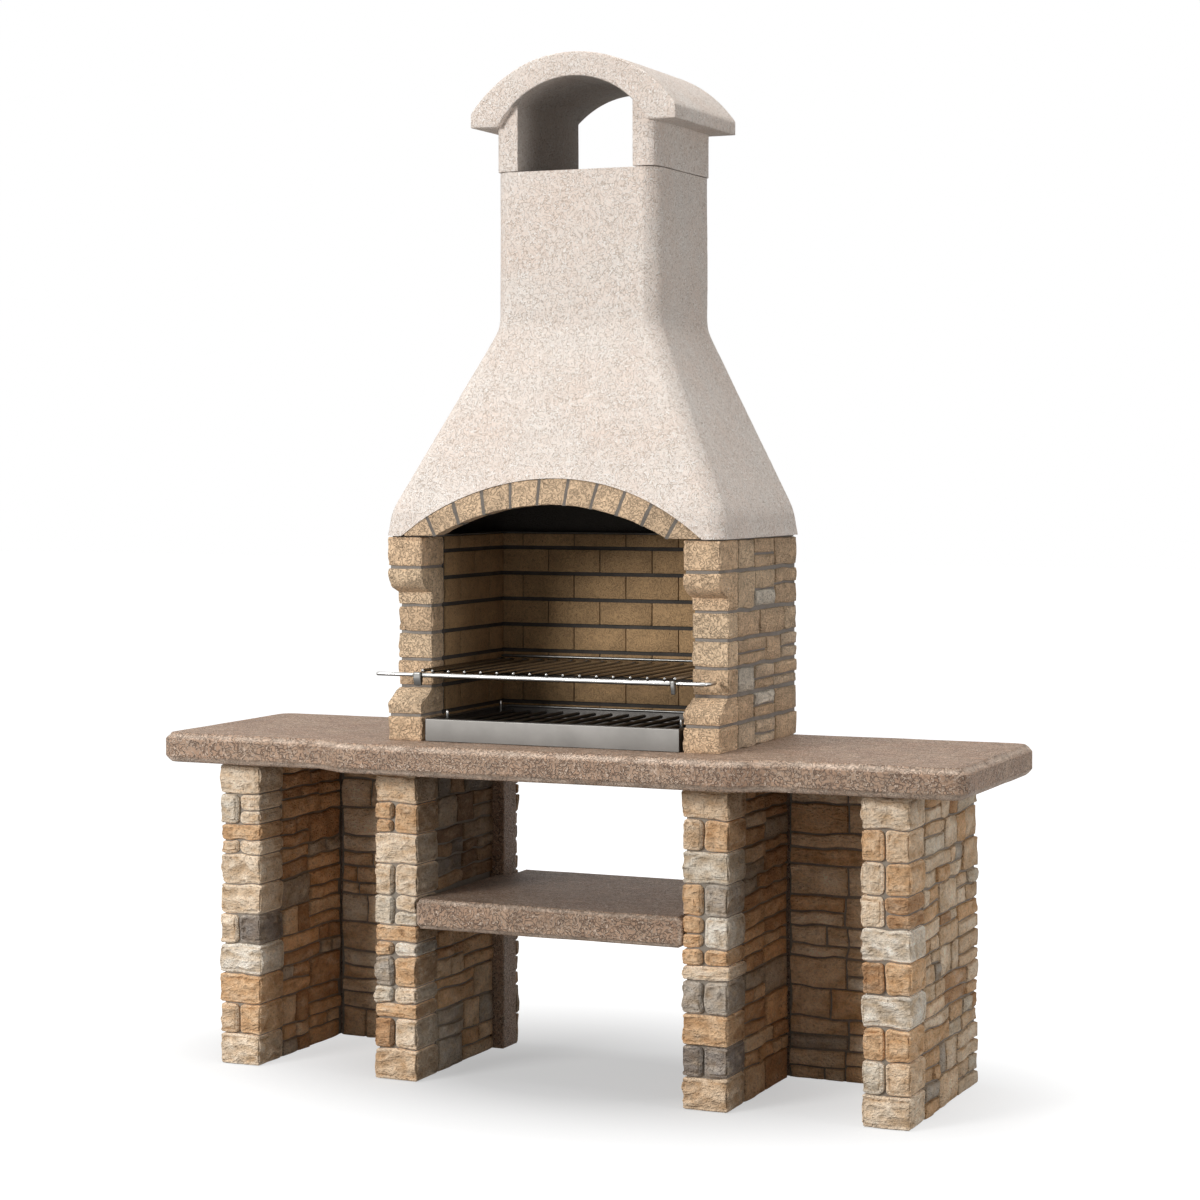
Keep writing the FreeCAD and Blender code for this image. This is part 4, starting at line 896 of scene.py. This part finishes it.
# front piers: blocks whose front is drawn back by a share of their height
pierLook = {"counts": (20, 20, 18), "rim": 0.0055, "proud": 0.0028, "closeRise": 0.0015, "jointCut": 0.15,
            "pillow": 0.001, "pillowPower": 6.0, "ridge": 0.0028, "ridgeGrain": 0.026, "facet": 0.002,
            "facetGrain": 0.022, "chip": 0.004, "chipGrain": 0.0115, "knock": 0.004, "knockGrain": 0.02,
            "warp": 0.008, "warpGrain": 0.03, "deepest": 0.009, "sway": 0.0012, "swayGrain": 0.03, "seed": 31,
            "crease": 40, "step": 0.053, "slopeFrom": 0.43, "halfBrick": 0.38, "band": 0.82}
pierTones = {"brick": 3, "paleBrick": 1}


# sloped block: upright to slopeFrom of its height, then straight back to the step
def slopeBack(share):
    return np.clip((share - pierLook["slopeFrom"]) / (1 - pierLook["slopeFrom"]), 0, 1)


# corbel: set back by the whole step below the half brick, then a quarter round out to the band
def corbelBack(share):
    t = np.clip((share - pierLook["halfBrick"]) / (pierLook["band"] - pierLook["halfBrick"]), 0, 1)
    return np.where(share < pierLook["halfBrick"], 1.0, 1 - np.sqrt(np.clip(1 - (1 - t) ** 2, 0, 1)))


# how much of the cut each face of a pier block takes: all on the front and the sides, little in the joints
# and none on the back, whatever its box
def pierKeep(low, high):
    def share(outward):
        x, y, z = np.moveaxis(outward ** 2, -1, 0)
        return x + y * (outward[..., 1] < 0) + z * pierLook["jointCut"]

    return share


# boxes of the pier blocks grown to the front and the sides, and a little into the joints
def pierRoom(low, high):
    proud, rise = pierLook["proud"], pierLook["closeRise"]
    return low - np.array((proud, proud, rise)), high + np.array((proud, 0, rise))


pierParts = {"base_block": None, "sloped_block": slopeBack, "plain_blocks": None, "corbel_block": corbelBack,
             "top_block": None}
for side in sides:
    for part, drawBack in pierParts.items():
        node = side + "_pier_" + part
        hewnBlocks(camel(node), node, pierLook, mixedTones(pierTones), "tanBrick", pierKeep, pierRoom,
                   drawBack=drawBack)
print("piers done")


# share 0..1 that an edge is rubbed: highest where a face turns from level to upright, or between two sides
def edgeShare(outward):
    level = outward[:, 2] ** 2
    side = outward[:, 0] ** 2 * outward[:, 1] ** 2
    return np.clip(4 * level * (1 - level) + 4 * side, 0, 1)


# corners in plan: the step beyond the inner oblong keeps its longer part as its length along a round of the
# radius; the step's direction is given too
def roundCorners(flat, half, radius):
    inner = np.clip(flat, radius - half, half - radius)
    step = flat - inner
    length = np.maximum(np.linalg.norm(step, axis=1, keepdims=True), 1e-9)
    return inner + step * np.abs(step).max(axis=1, keepdims=True) / length, step / length


# slab that is square in plan: the larger step to the side and the step up or down are brought to the bevel
# by their power sum, then the corners in plan are rounded
def bevelledSlab(low, high, counts, rim, power, corner):
    index, faces = latticeSkin(counts)
    half, middle = (high - low) / 2, (low + high) / 2
    spread = [crowded(2 * half[a:a + 1], counts[a], rim)[0, index[:, a]] for a in range(3)]
    point = np.stack(spread, -1) - half
    inner = np.clip(point, rim - half, half - rim)
    step = point - inner
    side, rise = np.abs(step[:, :2]).max(axis=1), np.abs(step[:, 2])
    point = inner + step * (rim / (side ** power + rise ** power) ** (1 / power))[:, None]
    point[:, :2], turned = roundCorners(point[:, :2], half[:2], corner)
    return point + middle, unitLength(np.concatenate((turned * side[:, None], step[:, 2:]), axis=1)), faces


# straight ramp from 0 at low to 1 at high, whose two bends are parabolas that reach the ease to each side
def easedRamp(value, low, high, ease):
    first, second = (np.where(np.abs(gap) < ease, (gap + ease) ** 2 / (4 * ease), np.maximum(gap, 0))
                     for gap in (value - low, value - high))
    return (first - second) / (high - low)


slabWear = {"chip": 0.005, "chipGrain": 0.017, "wave": 0.0012, "waveGrain": 0.08, "bevel": 1.18}


# worn slab: chips where a fine noise is high on the rubbed edges, and a slow wave over the faces
def wornSlab(point, outward, edge, seed):
    chip = np.clip(smoothNoise(point, slabWear["chipGrain"], seed), 0, 1) * edge
    wave = noiseShare(point, slabWear["waveGrain"], seed + 1)
    return point - outward * (slabWear["chip"] * chip + slabWear["wave"] * wave)[:, None]


# worktop: a bevelled slab with round corners, whose front is drawn back beside the bow by an eased ramp
worktopLook = {"counts": (230, 74, 17), "rim": 0.015, "corner": 0.044, "wing": 0.048,
               "bow": {"low": 0.4675, "high": 0.5375, "ease": 0.011}, "seed": 4, "crease": 30}
low, high = boxOf("worktop")
point, outward, faces = bevelledSlab(low, high, worktopLook["counts"], worktopLook["rim"], slabWear["bevel"],
                                     worktopLook["corner"])
edge = 4 * outward[:, 2] ** 2 * (1 - outward[:, 2] ** 2)
away = worktopLook["wing"] * easedRamp(np.abs(point[:, 0]), **worktopLook["bow"])
point[:, 1] = high[1] - (high[1] - point[:, 1]) * (1 - away / (high[1] - low[1]))
point = wornSlab(point, outward, edge, worktopLook["seed"])
addPiece("castWorktop", point, faces, "brown", ["worktop"], {"wear": edge}, worktopLook["crease"])

# lower shelf: a bevelled block, narrowed behind where it passes between the back panels, with painted shade
# on its top
shelfLook = {"counts": (74, 64, 17), "rim": 0.011, "mouth": 0.3215, "waist": 0.2935,
             "waistRun": (0.186, 0.1895), "ash": 0.18, "seed": 6, "crease": 30}
low, high = boxOf("lower_shelf")
low[0], high[0] = -shelfLook["mouth"], shelfLook["mouth"]
point, outward, faces = oneBlock(low, high, shelfLook["counts"], shelfLook["rim"], slabWear["bevel"])
edge = edgeShare(outward)
narrow = softStep(point[:, 1], *shelfLook["waistRun"])
point[:, 0] *= 1 - narrow * (1 - shelfLook["waist"] / shelfLook["mouth"])
point = wornSlab(point, outward, edge, shelfLook["seed"])
# painted shade: the shelf's top, which lies under the worktop, is darkened by the cast's dark tone
ash = shelfLook["ash"] * np.clip(outward[:, 2], 0, 1)
addPiece("castShelf", point, faces, "brown", ["lower_shelf"], {"wear": edge, "soot": ash},
         shelfLook["crease"])

# back panel cores: plain cast posts where their ends show in the centre bay
coreLook = {"counts": (24, 12, 40), "rim": 0.004, "wear": 0.35, "seed": 8, "crease": 50}
for side in sides:
    low, high = boxOf(side + "_back_panel_core")
    point, outward, faces = oneBlock(low, high, coreLook["counts"], coreLook["rim"])
    edge = edgeShare(outward) * coreLook["wear"]
    point = wornSlab(point, outward, edge, coreLook["seed"])
    addPiece(side + "PanelCore", point, faces, "brown", [side + "_back_panel_core"], {"wear": edge},
             coreLook["crease"])
print("slabs done")


# hood: a ring with bevelled corners, carried up the outside and back down the inside; its half width, front
# and back follow the height in straight runs with softened bends, and its foot follows the arch
hoodLook = {"foot": 1.223, "skirt": 1.278, "throat": 1.694, "mouth": 2.045,
            "half": (0.413, 0.407, 0.200, 0.200), "near": (-0.200, -0.194, -0.058, -0.058),
            "far": (0.306, 0.300, 0.284, 0.284), "bend": 0.009, "corner": 0.034, "cornerInside": 0.024,
            "bevel": 1.4, "wall": 0.044, "axisY": 0.09, "rows": 170, "rowsInside": 60, "front": 96,
            "sides": 40, "cornerSteps": 10, "footTries": 6, "calm": 0.03, "lump": 0.002, "lumpGrain": 0.1,
            "lumpSeed": 8, "grit": 0.0006, "gritGrain": 0.012, "gritSeed": 9, "crease": 38}
archLook = {"span": 0.558, "rise": 0.071, "outerSpan": 0.724, "outerRise": 0.130, "voussoirs": 9,
            "joint": 0.0054, "tipGap": 0.006, "lift": 0.0005, "set": 0.0012, "counts": (14, 14, 12),
            "rim": 0.0026, "rough": 0.0016, "roughGrain": 0.012, "roughSeed": 10, "reliefShare": 0.5,
            "seed": 41, "crease": 50}
archTones = {"archBrick": 1}


# radius of a circle from half a chord and its rise: (half^2 + rise^2) / (2 * rise)
def arcRadius(half, rise):
    return (half ** 2 + rise ** 2) / (2 * rise)


archRadius = arcRadius(archLook["span"] / 2, archLook["rise"])
outerRadius = arcRadius(archLook["outerSpan"] / 2, archLook["outerRise"])
archCentre = hoodLook["foot"] + archLook["rise"] - archRadius
outerCentre = hoodLook["foot"] + archLook["outerRise"] - outerRadius


# straight runs through the levels; each bend is a soft corner, w * log(1 + e^(h / w)) in place of a kink
def softRuns(height, values):
    levels = [hoodLook[key] for key in ("foot", "skirt", "throat", "mouth")]
    slopes = np.diff(values) / np.diff(levels)
    total = values[0] + slopes[0] * (height - levels[0])
    for level, change in zip(levels[1:3], np.diff(slopes)):
        total = total + change * hoodLook["bend"] * np.logaddexp(0, (height - level) / hoodLook["bend"])
    return total


# shares of an oblong ring from the front left: x is across * half + turnX * corner, and y is near and far
# by the share deep, with turnY * corner; each corner is a power curve between round and flat
def ringShares():
    f = np.linspace(-1, 1, hoodLook["front"], endpoint=False)
    d = np.linspace(0, 1, hoodLook["sides"], endpoint=False)
    t = np.linspace(0, np.pi / 2, hoodLook["cornerSteps"], endpoint=False)
    s, c = np.sin(t) ** (2 / hoodLook["bevel"]), np.cos(t) ** (2 / hoodLook["bevel"])
    one, edge = np.ones_like(t), np.ones_like(d)
    across = np.concatenate((f, one, edge, one, -f, -one, -edge, -one))
    turnX = np.concatenate((-f, s - 1, 0 * d, c - 1, f, 1 - s, 0 * d, 1 - c))
    deep = np.concatenate((0 * f, 0 * t, d, one, 1 + 0 * f, one, 1 - d, 0 * t))
    turnY = np.concatenate((0 * f, 1 - c, 1 - 2 * d, s - 1, 0 * f, c - 1, 2 * d - 1, 1 - s))
    return across, turnX, deep, turnY


# one wall of the hood on a grid of rows by ring points; the foot is worked out again from x a few times
def hoodWall(rows, inset, corner):
    across, turnX, deep, turnY = ringShares()
    share = np.linspace(0, 1, rows)[:, None]
    isFront = np.arange(len(across)) < hoodLook["front"]
    foot = np.full(len(across), hoodLook["foot"])
    for again in range(hoodLook["footTries"]):
        height = foot + share * (hoodLook["mouth"] - foot)
        x = across * (softRuns(height, hoodLook["half"]) - inset) + turnX * corner
        under = outerCentre + np.sqrt(np.clip(outerRadius ** 2 - x[0] ** 2, 0, None))
        foot = np.where(isFront, np.maximum(hoodLook["foot"], under), hoodLook["foot"])
    near, far = softRuns(height, hoodLook["near"]) + inset, softRuns(height, hoodLook["far"]) - inset
    return gathered(x, near + deep * (far - near) + turnY * corner, height)


# how far a cast face is sunk: slow noise 0..1 times the lump's depth
def castLump(point, seed):
    return hoodLook["lump"] * noiseShare(point, hoodLook["lumpGrain"], seed)


outerWall = hoodWall(hoodLook["rows"], 0.0, hoodLook["corner"])
innerWall = hoodWall(hoodLook["rowsInside"], hoodLook["wall"], hoodLook["cornerInside"])[::-1]
calm = softStep(np.linspace(0, 1, hoodLook["rows"]), 0.0, hoodLook["calm"])[:, None]
grit = hoodLook["grit"] * noiseShare(outerWall, hoodLook["gritGrain"], hoodLook["gritSeed"])
sunk = castLump(outerWall, hoodLook["lumpSeed"]) * calm + grit
toAxis = np.array((0.0, hoodLook["axisY"], 0.0)) - outerWall * np.array((1, 1, 0))
outerWall = outerWall + unitLength(toAxis) * sunk[..., None]
skin = np.concatenate((outerWall, innerWall))
number = np.arange(skin.size // 3).reshape(skin.shape[:2])
faces = gridQuads(np.pad(number, ((0, 1), (0, 1)), mode="wrap").T)
# the whole inside of the hood takes the dark tone
soot = np.concatenate((np.zeros(outerWall.shape[:2]), np.ones(innerWall.shape[:2]))).ravel()
addPiece("castHood", skin, faces, "cream", ["hood"], {"soot": soot}, hoodLook["crease"])


# distance along a ray at an angle from upright to the outer circle, whose centre is higher
def outerReach(angle):
    lift = outerCentre - archCentre
    return lift * np.cos(angle) + np.sqrt(outerRadius ** 2 - (lift * np.sin(angle)) ** 2)


# place in the arch by angle, share of the way from the inner to the outer curve, and depth behind the front
def archPlace(angle, share, back):
    base = np.maximum(archRadius, (hoodLook["foot"] + archLook["lift"] - archCentre) / np.cos(angle))
    reach = base + share * (outerReach(angle) - base)
    height = archCentre + reach * np.cos(angle)
    front = softRuns(height, hoodLook["near"]) + archLook["set"]
    return gathered(reach * np.sin(angle), front + back, height)


# arch bricks: blocks in angle, share and depth, the voussoirs and an end wedge on each side
edges = np.arcsin(archLook["span"] / 2 / archRadius) * np.linspace(-1, 1, archLook["voussoirs"] + 1)
gap = archLook["joint"] / 2
tip = np.arctan2(archLook["outerSpan"] / 2 - archLook["tipGap"], hoodLook["foot"] - archCentre)
starts, stops = np.concatenate(((-tip,), edges)), np.concatenate((edges, (tip,)))
middleReach = archRadius + archLook["outerRise"] / 4
thick = archLook["outerRise"] - archLook["rise"]
low = gathered(starts * middleReach + gap, 0.0, 0.0)
high = gathered(stops * middleReach - gap, thick, hoodLook["wall"])
low[0, 0] -= gap
high[-1, 0] += gap
point, outward, half, centre, faces = roundedBlocks(low, high, archLook["counts"], archLook["rim"])
flat = point + centre
dice = np.random.default_rng(archLook["seed"])
shift = dice.random((len(low), 1, 3)) * hewnSet["apart"]
rough = noiseShare(flat + shift, archLook["roughGrain"], archLook["roughSeed"])
flat = flat - outward * (archLook["rough"] * rough)[..., None]
place = archPlace(flat[..., 0] / middleReach, flat[..., 1] / thick, flat[..., 2])
tones = mixedTones(archTones)(low, high, dice)
layers = {"tone": np.repeat(tones, point.shape[1], axis=0),
          "relief": (rough * archLook["reliefShare"]).ravel()}
addPiece("archBricks", place, faces[:, ::-1], "tanBrick", ["arch_bricks"], layers, archLook["crease"])
print("hood and arch done")


# chimney cap: a vault as a block between two curves over x, and two walls with round outer corners; smoke
# and painted shade darken what faces into the flue
capLook = {"eave": 0.252, "eaveUnder": 2.146, "eaveTop": 2.178, "apex": 2.309, "soffit": 0.183,
           "soffitApex": 2.252, "near": -0.075, "far": 0.301, "slab": 0.05, "counts": (150, 46, 11),
           "rim": 0.004, "vaultSeed": 12, "wallIn": 0.140, "wallOut": 0.1995, "wallNear": -0.0575,
           "wallFar": 0.284, "wallTop": 2.214, "bed": 0.0008, "wallRound": 0.028,
           "wallCounts": (18, 44, 30), "wallRim": 0.0025, "wallSeed": 8, "smoke": 0.33, "smokeAndShadePast": 0.01,
           "faces": 0.5, "crease": 45}


# height of an arc over x, whose top is at the apex
def arcOver(x, apex, radius):
    return apex - radius + np.sqrt(np.clip(radius ** 2 - x ** 2, 0, None))


outerArc = arcRadius(capLook["eave"], capLook["apex"] - capLook["eaveTop"])
soffitArc = arcRadius(capLook["soffit"], capLook["soffitApex"] - capLook["eaveUnder"])
low = np.array((-capLook["eave"], capLook["near"], 0.0))
high = np.array((capLook["eave"], capLook["far"], capLook["slab"]))
point, outward, faces = oneBlock(low, high, capLook["counts"], capLook["rim"])
fromMiddle, share = np.abs(point[:, 0]), point[:, 2] / capLook["slab"]
over = arcOver(fromMiddle, capLook["apex"], outerArc)
under = np.where(fromMiddle < capLook["soffit"], arcOver(fromMiddle, capLook["soffitApex"], soffitArc),
                 capLook["eaveUnder"])
point[:, 2] = under + share * (over - under)
point -= outward * castLump(point, capLook["vaultSeed"])[:, None]
# smoke and painted shade darken the vault's underside over the flue and the walls' faces into it
overFlue = np.abs(point[:, 0]) < capLook["wallIn"] + capLook["smokeAndShadePast"]
inFlue = (outward[:, 2] < -capLook["faces"]) & overFlue
smoke = [np.where(inFlue, capLook["smoke"], 0.0)]
parts = [(point, faces)]
for side in (-1, 1):
    left, right = sorted((side * capLook["wallIn"], side * capLook["wallOut"]))
    low = np.array((left, capLook["wallNear"], hoodLook["mouth"] + capLook["bed"]))
    high = np.array((right, capLook["wallFar"], capLook["wallTop"]))
    point, outward, faces = oneBlock(low, high, capLook["wallCounts"], capLook["wallRim"])
    middle, half = (low + high)[:2] / 2, (high - low)[:2] / 2
    bent = middle + roundCorners(point[:, :2] - middle, half, capLook["wallRound"])[0]
    outside = (point[:, 0] - middle[0]) * side > 0
    point[:, :2] = np.where(outside[:, None], bent, point[:, :2])
    point -= outward * castLump(point, capLook["wallSeed"])[:, None]
    parts.append((point, faces))
    smoke.append(np.where(outward[:, 0] * side < -capLook["faces"], capLook["smoke"], 0.0))
cap, faces = joined(parts)
addPiece("chimneyCap", cap, faces, "cream", ["chimney_cap"], {"soot": np.concatenate(smoke)},
         capLook["crease"])
print("cap done")


rodLook = {"around": 14, "rows": 10, "bentRows": 22, "endTurns": (14, 36, 62, 90), "upright": 0.9,
           "smoke": 0.85, "smokeAndShadeRun": (-0.15, 0.55), "crease": 60}


# rod: a ring carried along a path that is level, or straight up, drawn in to a round end at both ends
def rodAlong(path, radius, rows=rodLook["rows"]):
    path = np.asarray(path, float)
    length = np.concatenate(((0,), np.cumsum(np.linalg.norm(np.diff(path, axis=0), axis=1))))
    turn = np.radians(rodLook["endTurns"])
    lead, thin = radius * (1 - np.cos(turn)), np.sin(turn)
    inside = np.linspace(radius, length[-1] - radius, rows)[1:-1]
    along = np.concatenate((lead, inside, length[-1] - lead[::-1]))
    scale = np.concatenate((thin, np.ones(len(inside)), thin[::-1]))
    centre = np.stack([np.interp(along, length, path[:, a]) for a in range(3)], -1)
    tangent = unitLength(np.gradient(centre, axis=0))
    upright = np.abs(tangent[0, 2]) > rodLook["upright"]
    up = np.array((0, 1.0, 0)) if upright else np.array((0, 0, 1.0))
    side = np.cross(tangent, up)
    angle = np.linspace(0, 2 * np.pi, rodLook["around"], endpoint=False)[:, None]
    ring = np.cos(angle) * side[:, None] + np.sin(angle) * up
    point = centre[:, None] + radius * scale[:, None, None] * ring
    return point.reshape(-1, 3), tubeFaces(*point.shape[:2])


# the smoke and painted shade on each point of some rods, darkest underneath: a soft step from just over the
# middle to half the radius below it
def smokeAndShadeUnder(parts, radius):
    levels = [points[:, 2] for points, faces in parts]
    below = np.concatenate([((level.max() + level.min()) / 2 - level) / radius for level in levels])
    return rodLook["smoke"] * softStep(below, *rodLook["smokeAndShadeRun"])


# straight rods in the place of a node's solids: the longest side of each box is the run
def rodsOf(node):
    low, high = solidBoxes(node)
    size = high - low
    run = size.argmax(axis=1)
    radius = np.sort(size, axis=1)[0, 0] / 2
    middle = (low + high) / 2
    ends = np.stack((middle, middle), 1)
    which = np.arange(len(low))
    ends[which, 0, run], ends[which, 1, run] = low[which, run], high[which, run]
    return [rodAlong(pair, radius) for pair in ends], radius


rodFinishes = {"grill_bars": "chrome", "grill_side_rods": "chrome", "grill_front_rail": "rail",
               "grill_rear_rail": "dullRail", "grill_left_handle": "rail", "ember_grate_bars": "black",
               "ember_grate_cross_rods": "black", "ember_grate_posts": "chrome", "grill_rest_pegs": "black"}
for node, finish in rodFinishes.items():
    parts, radius = rodsOf(node)
    points, faces = joined(parts)
    # smoke and painted shade darken the rods' undersides, but not the posts'
    smoke = np.zeros(len(points)) if node == "ember_grate_posts" else smokeAndShadeUnder(parts, radius)
    addPiece(camel(node), points, faces, finish, [node], {"smoke": smoke}, rodLook["crease"])

# right handle: out along X, a quarter turn, then back along Y
handleLook = {"bend": 0.012, "steps": 9}
low, high = boxOf("grill_right_handle")
radius, bend, level = (high[2] - low[2]) / 2, handleLook["bend"], (low[2] + high[2]) / 2
turn = np.linspace(0, np.pi / 2, handleLook["steps"])
quarter = gathered(high[0] - radius - bend * (1 - np.sin(turn)),
                   low[1] + radius + bend * (1 - np.cos(turn)), level)
path = np.concatenate((((low[0], low[1] + radius, level),), quarter, ((high[0] - radius, high[1], level),)))
part = rodAlong(path, radius, rodLook["bentRows"])
addPiece("grillRightHandle", *part, "rail", ["grill_right_handle"], {"smoke": smokeAndShadeUnder([part], radius)},
         rodLook["crease"])

# clips: bevelled blocks, pointed below the rail
clipLook = {"counts": (10, 14, 18), "rim": 0.0022, "shoulder": 0.55, "tip": 0.3, "smoke": 0.6,
            "smokeAndShadeRun": (0.2, 0.7), "crease": 35}
for side in sides:
    node = "grill_" + side + "_clip"
    low, high = boxOf(node)
    point, outward, faces = oneBlock(low, high, clipLook["counts"], clipLook["rim"])
    share = (point[:, 2] - low[2]) / (high[2] - low[2])
    middle = (low + high)[1] / 2
    narrow = clipLook["tip"] + (1 - clipLook["tip"]) * np.clip(share / clipLook["shoulder"], 0, 1)
    point[:, 1] = middle + (point[:, 1] - middle) * narrow
    # smoke and painted shade: the lower part of the clip is darker
    smoke = clipLook["smoke"] * (1 - softStep(share, *clipLook["smokeAndShadeRun"]))
    addPiece(camel(node), point, faces, "dullRail", [node], {"smoke": smoke}, clipLook["crease"])

# tray front: a sheet profile carried along X, upright and then folded back over a small round
frontLook = {"sheet": 0.0016, "fold": 0.003, "lip": 0.013, "lift": 0.0012, "lowGap": 0.0004, "steps": 7,
             "rows": 12, "crease": 30}
low, high = boxOf("ember_tray_front")
turn = np.linspace(0, np.pi / 2, frontLook["steps"])
front, top, fold = low[1], high[2] + frontLook["lift"], frontLook["fold"]
quarter = gathered(front + fold * (1 - np.cos(turn)), top - fold * (1 - np.sin(turn)))
outer = np.concatenate((((front, low[2] + frontLook["lowGap"]),), quarter,
                        ((front + frontLook["lip"], top),)))
lean = unitLength(np.gradient(outer, axis=0))
inner = outer + frontLook["sheet"] * gathered(lean[:, 1], -lean[:, 0])
loop = np.concatenate((outer, inner[::-1]))
across = np.linspace(low[0], high[0], frontLook["rows"])[:, None]
point = gathered(across, loop[:, 0], loop[:, 1])
addPiece("emberTrayFront", point, tubeFaces(*point.shape[:2]), "sheet", ["ember_tray_front"],
         {"smoke": np.zeros(point.size // 3)}, frontLook["crease"])

# rolled rim round the sides and the back of the pan, with its corners cut
rimLook = {"radius": 0.0034, "drop": 0.0024, "overlap": 0.0008, "frontGap": 0.004, "cut": 0.008}
low, high = boxOf("ember_tray_pan")
inset, cut = rimLook["radius"] - rimLook["overlap"], rimLook["cut"]
left, right, back = low[0] + inset, high[0] - inset, high[1] - inset
front, level = low[1] + rimLook["frontGap"], high[2] - rimLook["drop"]
path = gathered((left, left, left + cut, right - cut, right, right),
                (front, back - cut, back, back, back - cut, front), level)
point, faces = rodAlong(path, rimLook["radius"], rodLook["bentRows"])
addPiece("emberTrayRim", point, faces, "dullRail", like="ember_tray_pan", crease=rodLook["crease"])
print("fire equipment done")


# plain finishes on the CAD nodes that stay in view
plainFinishes = {"ember_tray_pan": "pan", "arch_mortar": "archPointing", "hood_bed_mortar": "pointing",
                 "worktop_bed_mortar": "deepPointing"}
for name, item in nodes.items():
    usual = "concrete" if name.endswith("core") else "deepPointing"
    item.data.materials.clear()
    item.data.materials.append(finishes[plainFinishes.get(name, usual)])


# camera at the photograph's place: level, turned to the left, with the frame shifted down
cameraSet = {"place": (2.54398, -5.72036, 1.38821), "turn": 23.66, "focal": 2770.6, "horizon": 462.4,
             "picture": 1200, "sensor": 36.0}
lens = bpy.data.cameras.new("photoCamera")
lens.sensor_width = cameraSet["sensor"]
lens.lens = cameraSet["focal"] * cameraSet["sensor"] / cameraSet["picture"]
lens.shift_y = (cameraSet["horizon"] - cameraSet["picture"] / 2) / cameraSet["picture"]
camera = bpy.data.objects.new("photoCamera", lens)
camera.location = cameraSet["place"]
camera.rotation_euler = (math.radians(90), 0, math.radians(cameraSet["turn"]))
scene.collection.objects.link(camera)
scene.camera = camera


# soft studio light: a key from the front left, a broad lamp overhead, a weak fill from the right and a sky
lamps = {
    "key": {"place": (-2.9, -5.6, 2.9), "aim": (0, 0, 0.8), "size": 2.4, "power": 312},
    "overhead": {"place": (0.0, -0.6, 7.0), "aim": (0, 0, 0.5), "size": 4.0, "power": 232},
    "fill": {"place": (6.0, -1.2, 1.9), "aim": (0, 0, 0.9), "size": 2.2, "power": 82},
}
skyLevel = 0.23
for name, lamp in lamps.items():
    light = bpy.data.lights.new(name, "AREA")
    light.shape = "DISK"
    light.size = lamp["size"]
    light.energy = lamp["power"]
    holder = bpy.data.objects.new(name, light)
    holder.location = lamp["place"]
    x, y, z = np.array(lamp["aim"]) - np.array(lamp["place"])
    holder.rotation_euler = (math.atan2(math.hypot(x, y), -z), 0, math.atan2(y, x) - math.pi / 2)
    scene.collection.objects.link(holder)


# 1 where the ray comes from the camera, a mirror or glass
def seenRay(tree):
    path = lay("LightPath", tree=tree)
    seen = maths("MAXIMUM", path.outputs["Is Camera Ray"], path.outputs["Is Glossy Ray"])
    return maths("MAXIMUM", seen, path.outputs["Is Transmission Ray"])


world = bpy.data.worlds.new("whiteStudio")
scene.world = world
world.use_nodes = True
skyTree = world.node_tree
sky = skyTree.nodes["Background"]
sky.inputs["Color"].default_value = (1, 1, 1, 1)
skyTree.links.new(span(seenRay(skyTree), 0, 1, skyLevel, 1.0), sky.inputs["Strength"])

# white floor that keeps the shadow: part of its white is its own light, and nearly all of it further out
floorLook = {"reach": 30.0, "tone": (0.3, 0.3, 0.3, 1), "glowRun": (0.3, 1.5), "glow": (0.44, 1.0),
             "stretch": (1, 1.5, 1)}
corners = np.array(((-1, -1, 0), (1, -1, 0), (1, 1, 0), (-1, 1, 0))) * floorLook["reach"]
floorMesh = bpy.data.meshes.new("floor")
floorMesh.from_pydata(corners, [], np.array(((0, 1, 2, 3),)))
floorFinish, tree, shader = newFinish("paleFloor", 1.0)
shader.inputs["Base Color"].default_value = floorLook["tone"]
shader.inputs["Specular IOR Level"].default_value = 0.0
shader.inputs["Emission Color"].default_value = (1, 1, 1, 1)
place = objectPlace(tree, floorLook["stretch"])
away = lay("VectorMath", {"operation": "LENGTH"}, s0=place).outputs["Value"]
glow = product(seenRay(tree), span(away, *floorLook["glowRun"], *floorLook["glow"]))
tree.links.new(glow, shader.inputs["Emission Strength"])
floorMesh.materials.append(floorFinish)
floorPlane = bpy.data.objects.new("floor", floorMesh)
scene.collection.objects.link(floorPlane)
scene.view_settings.view_transform = "Standard"
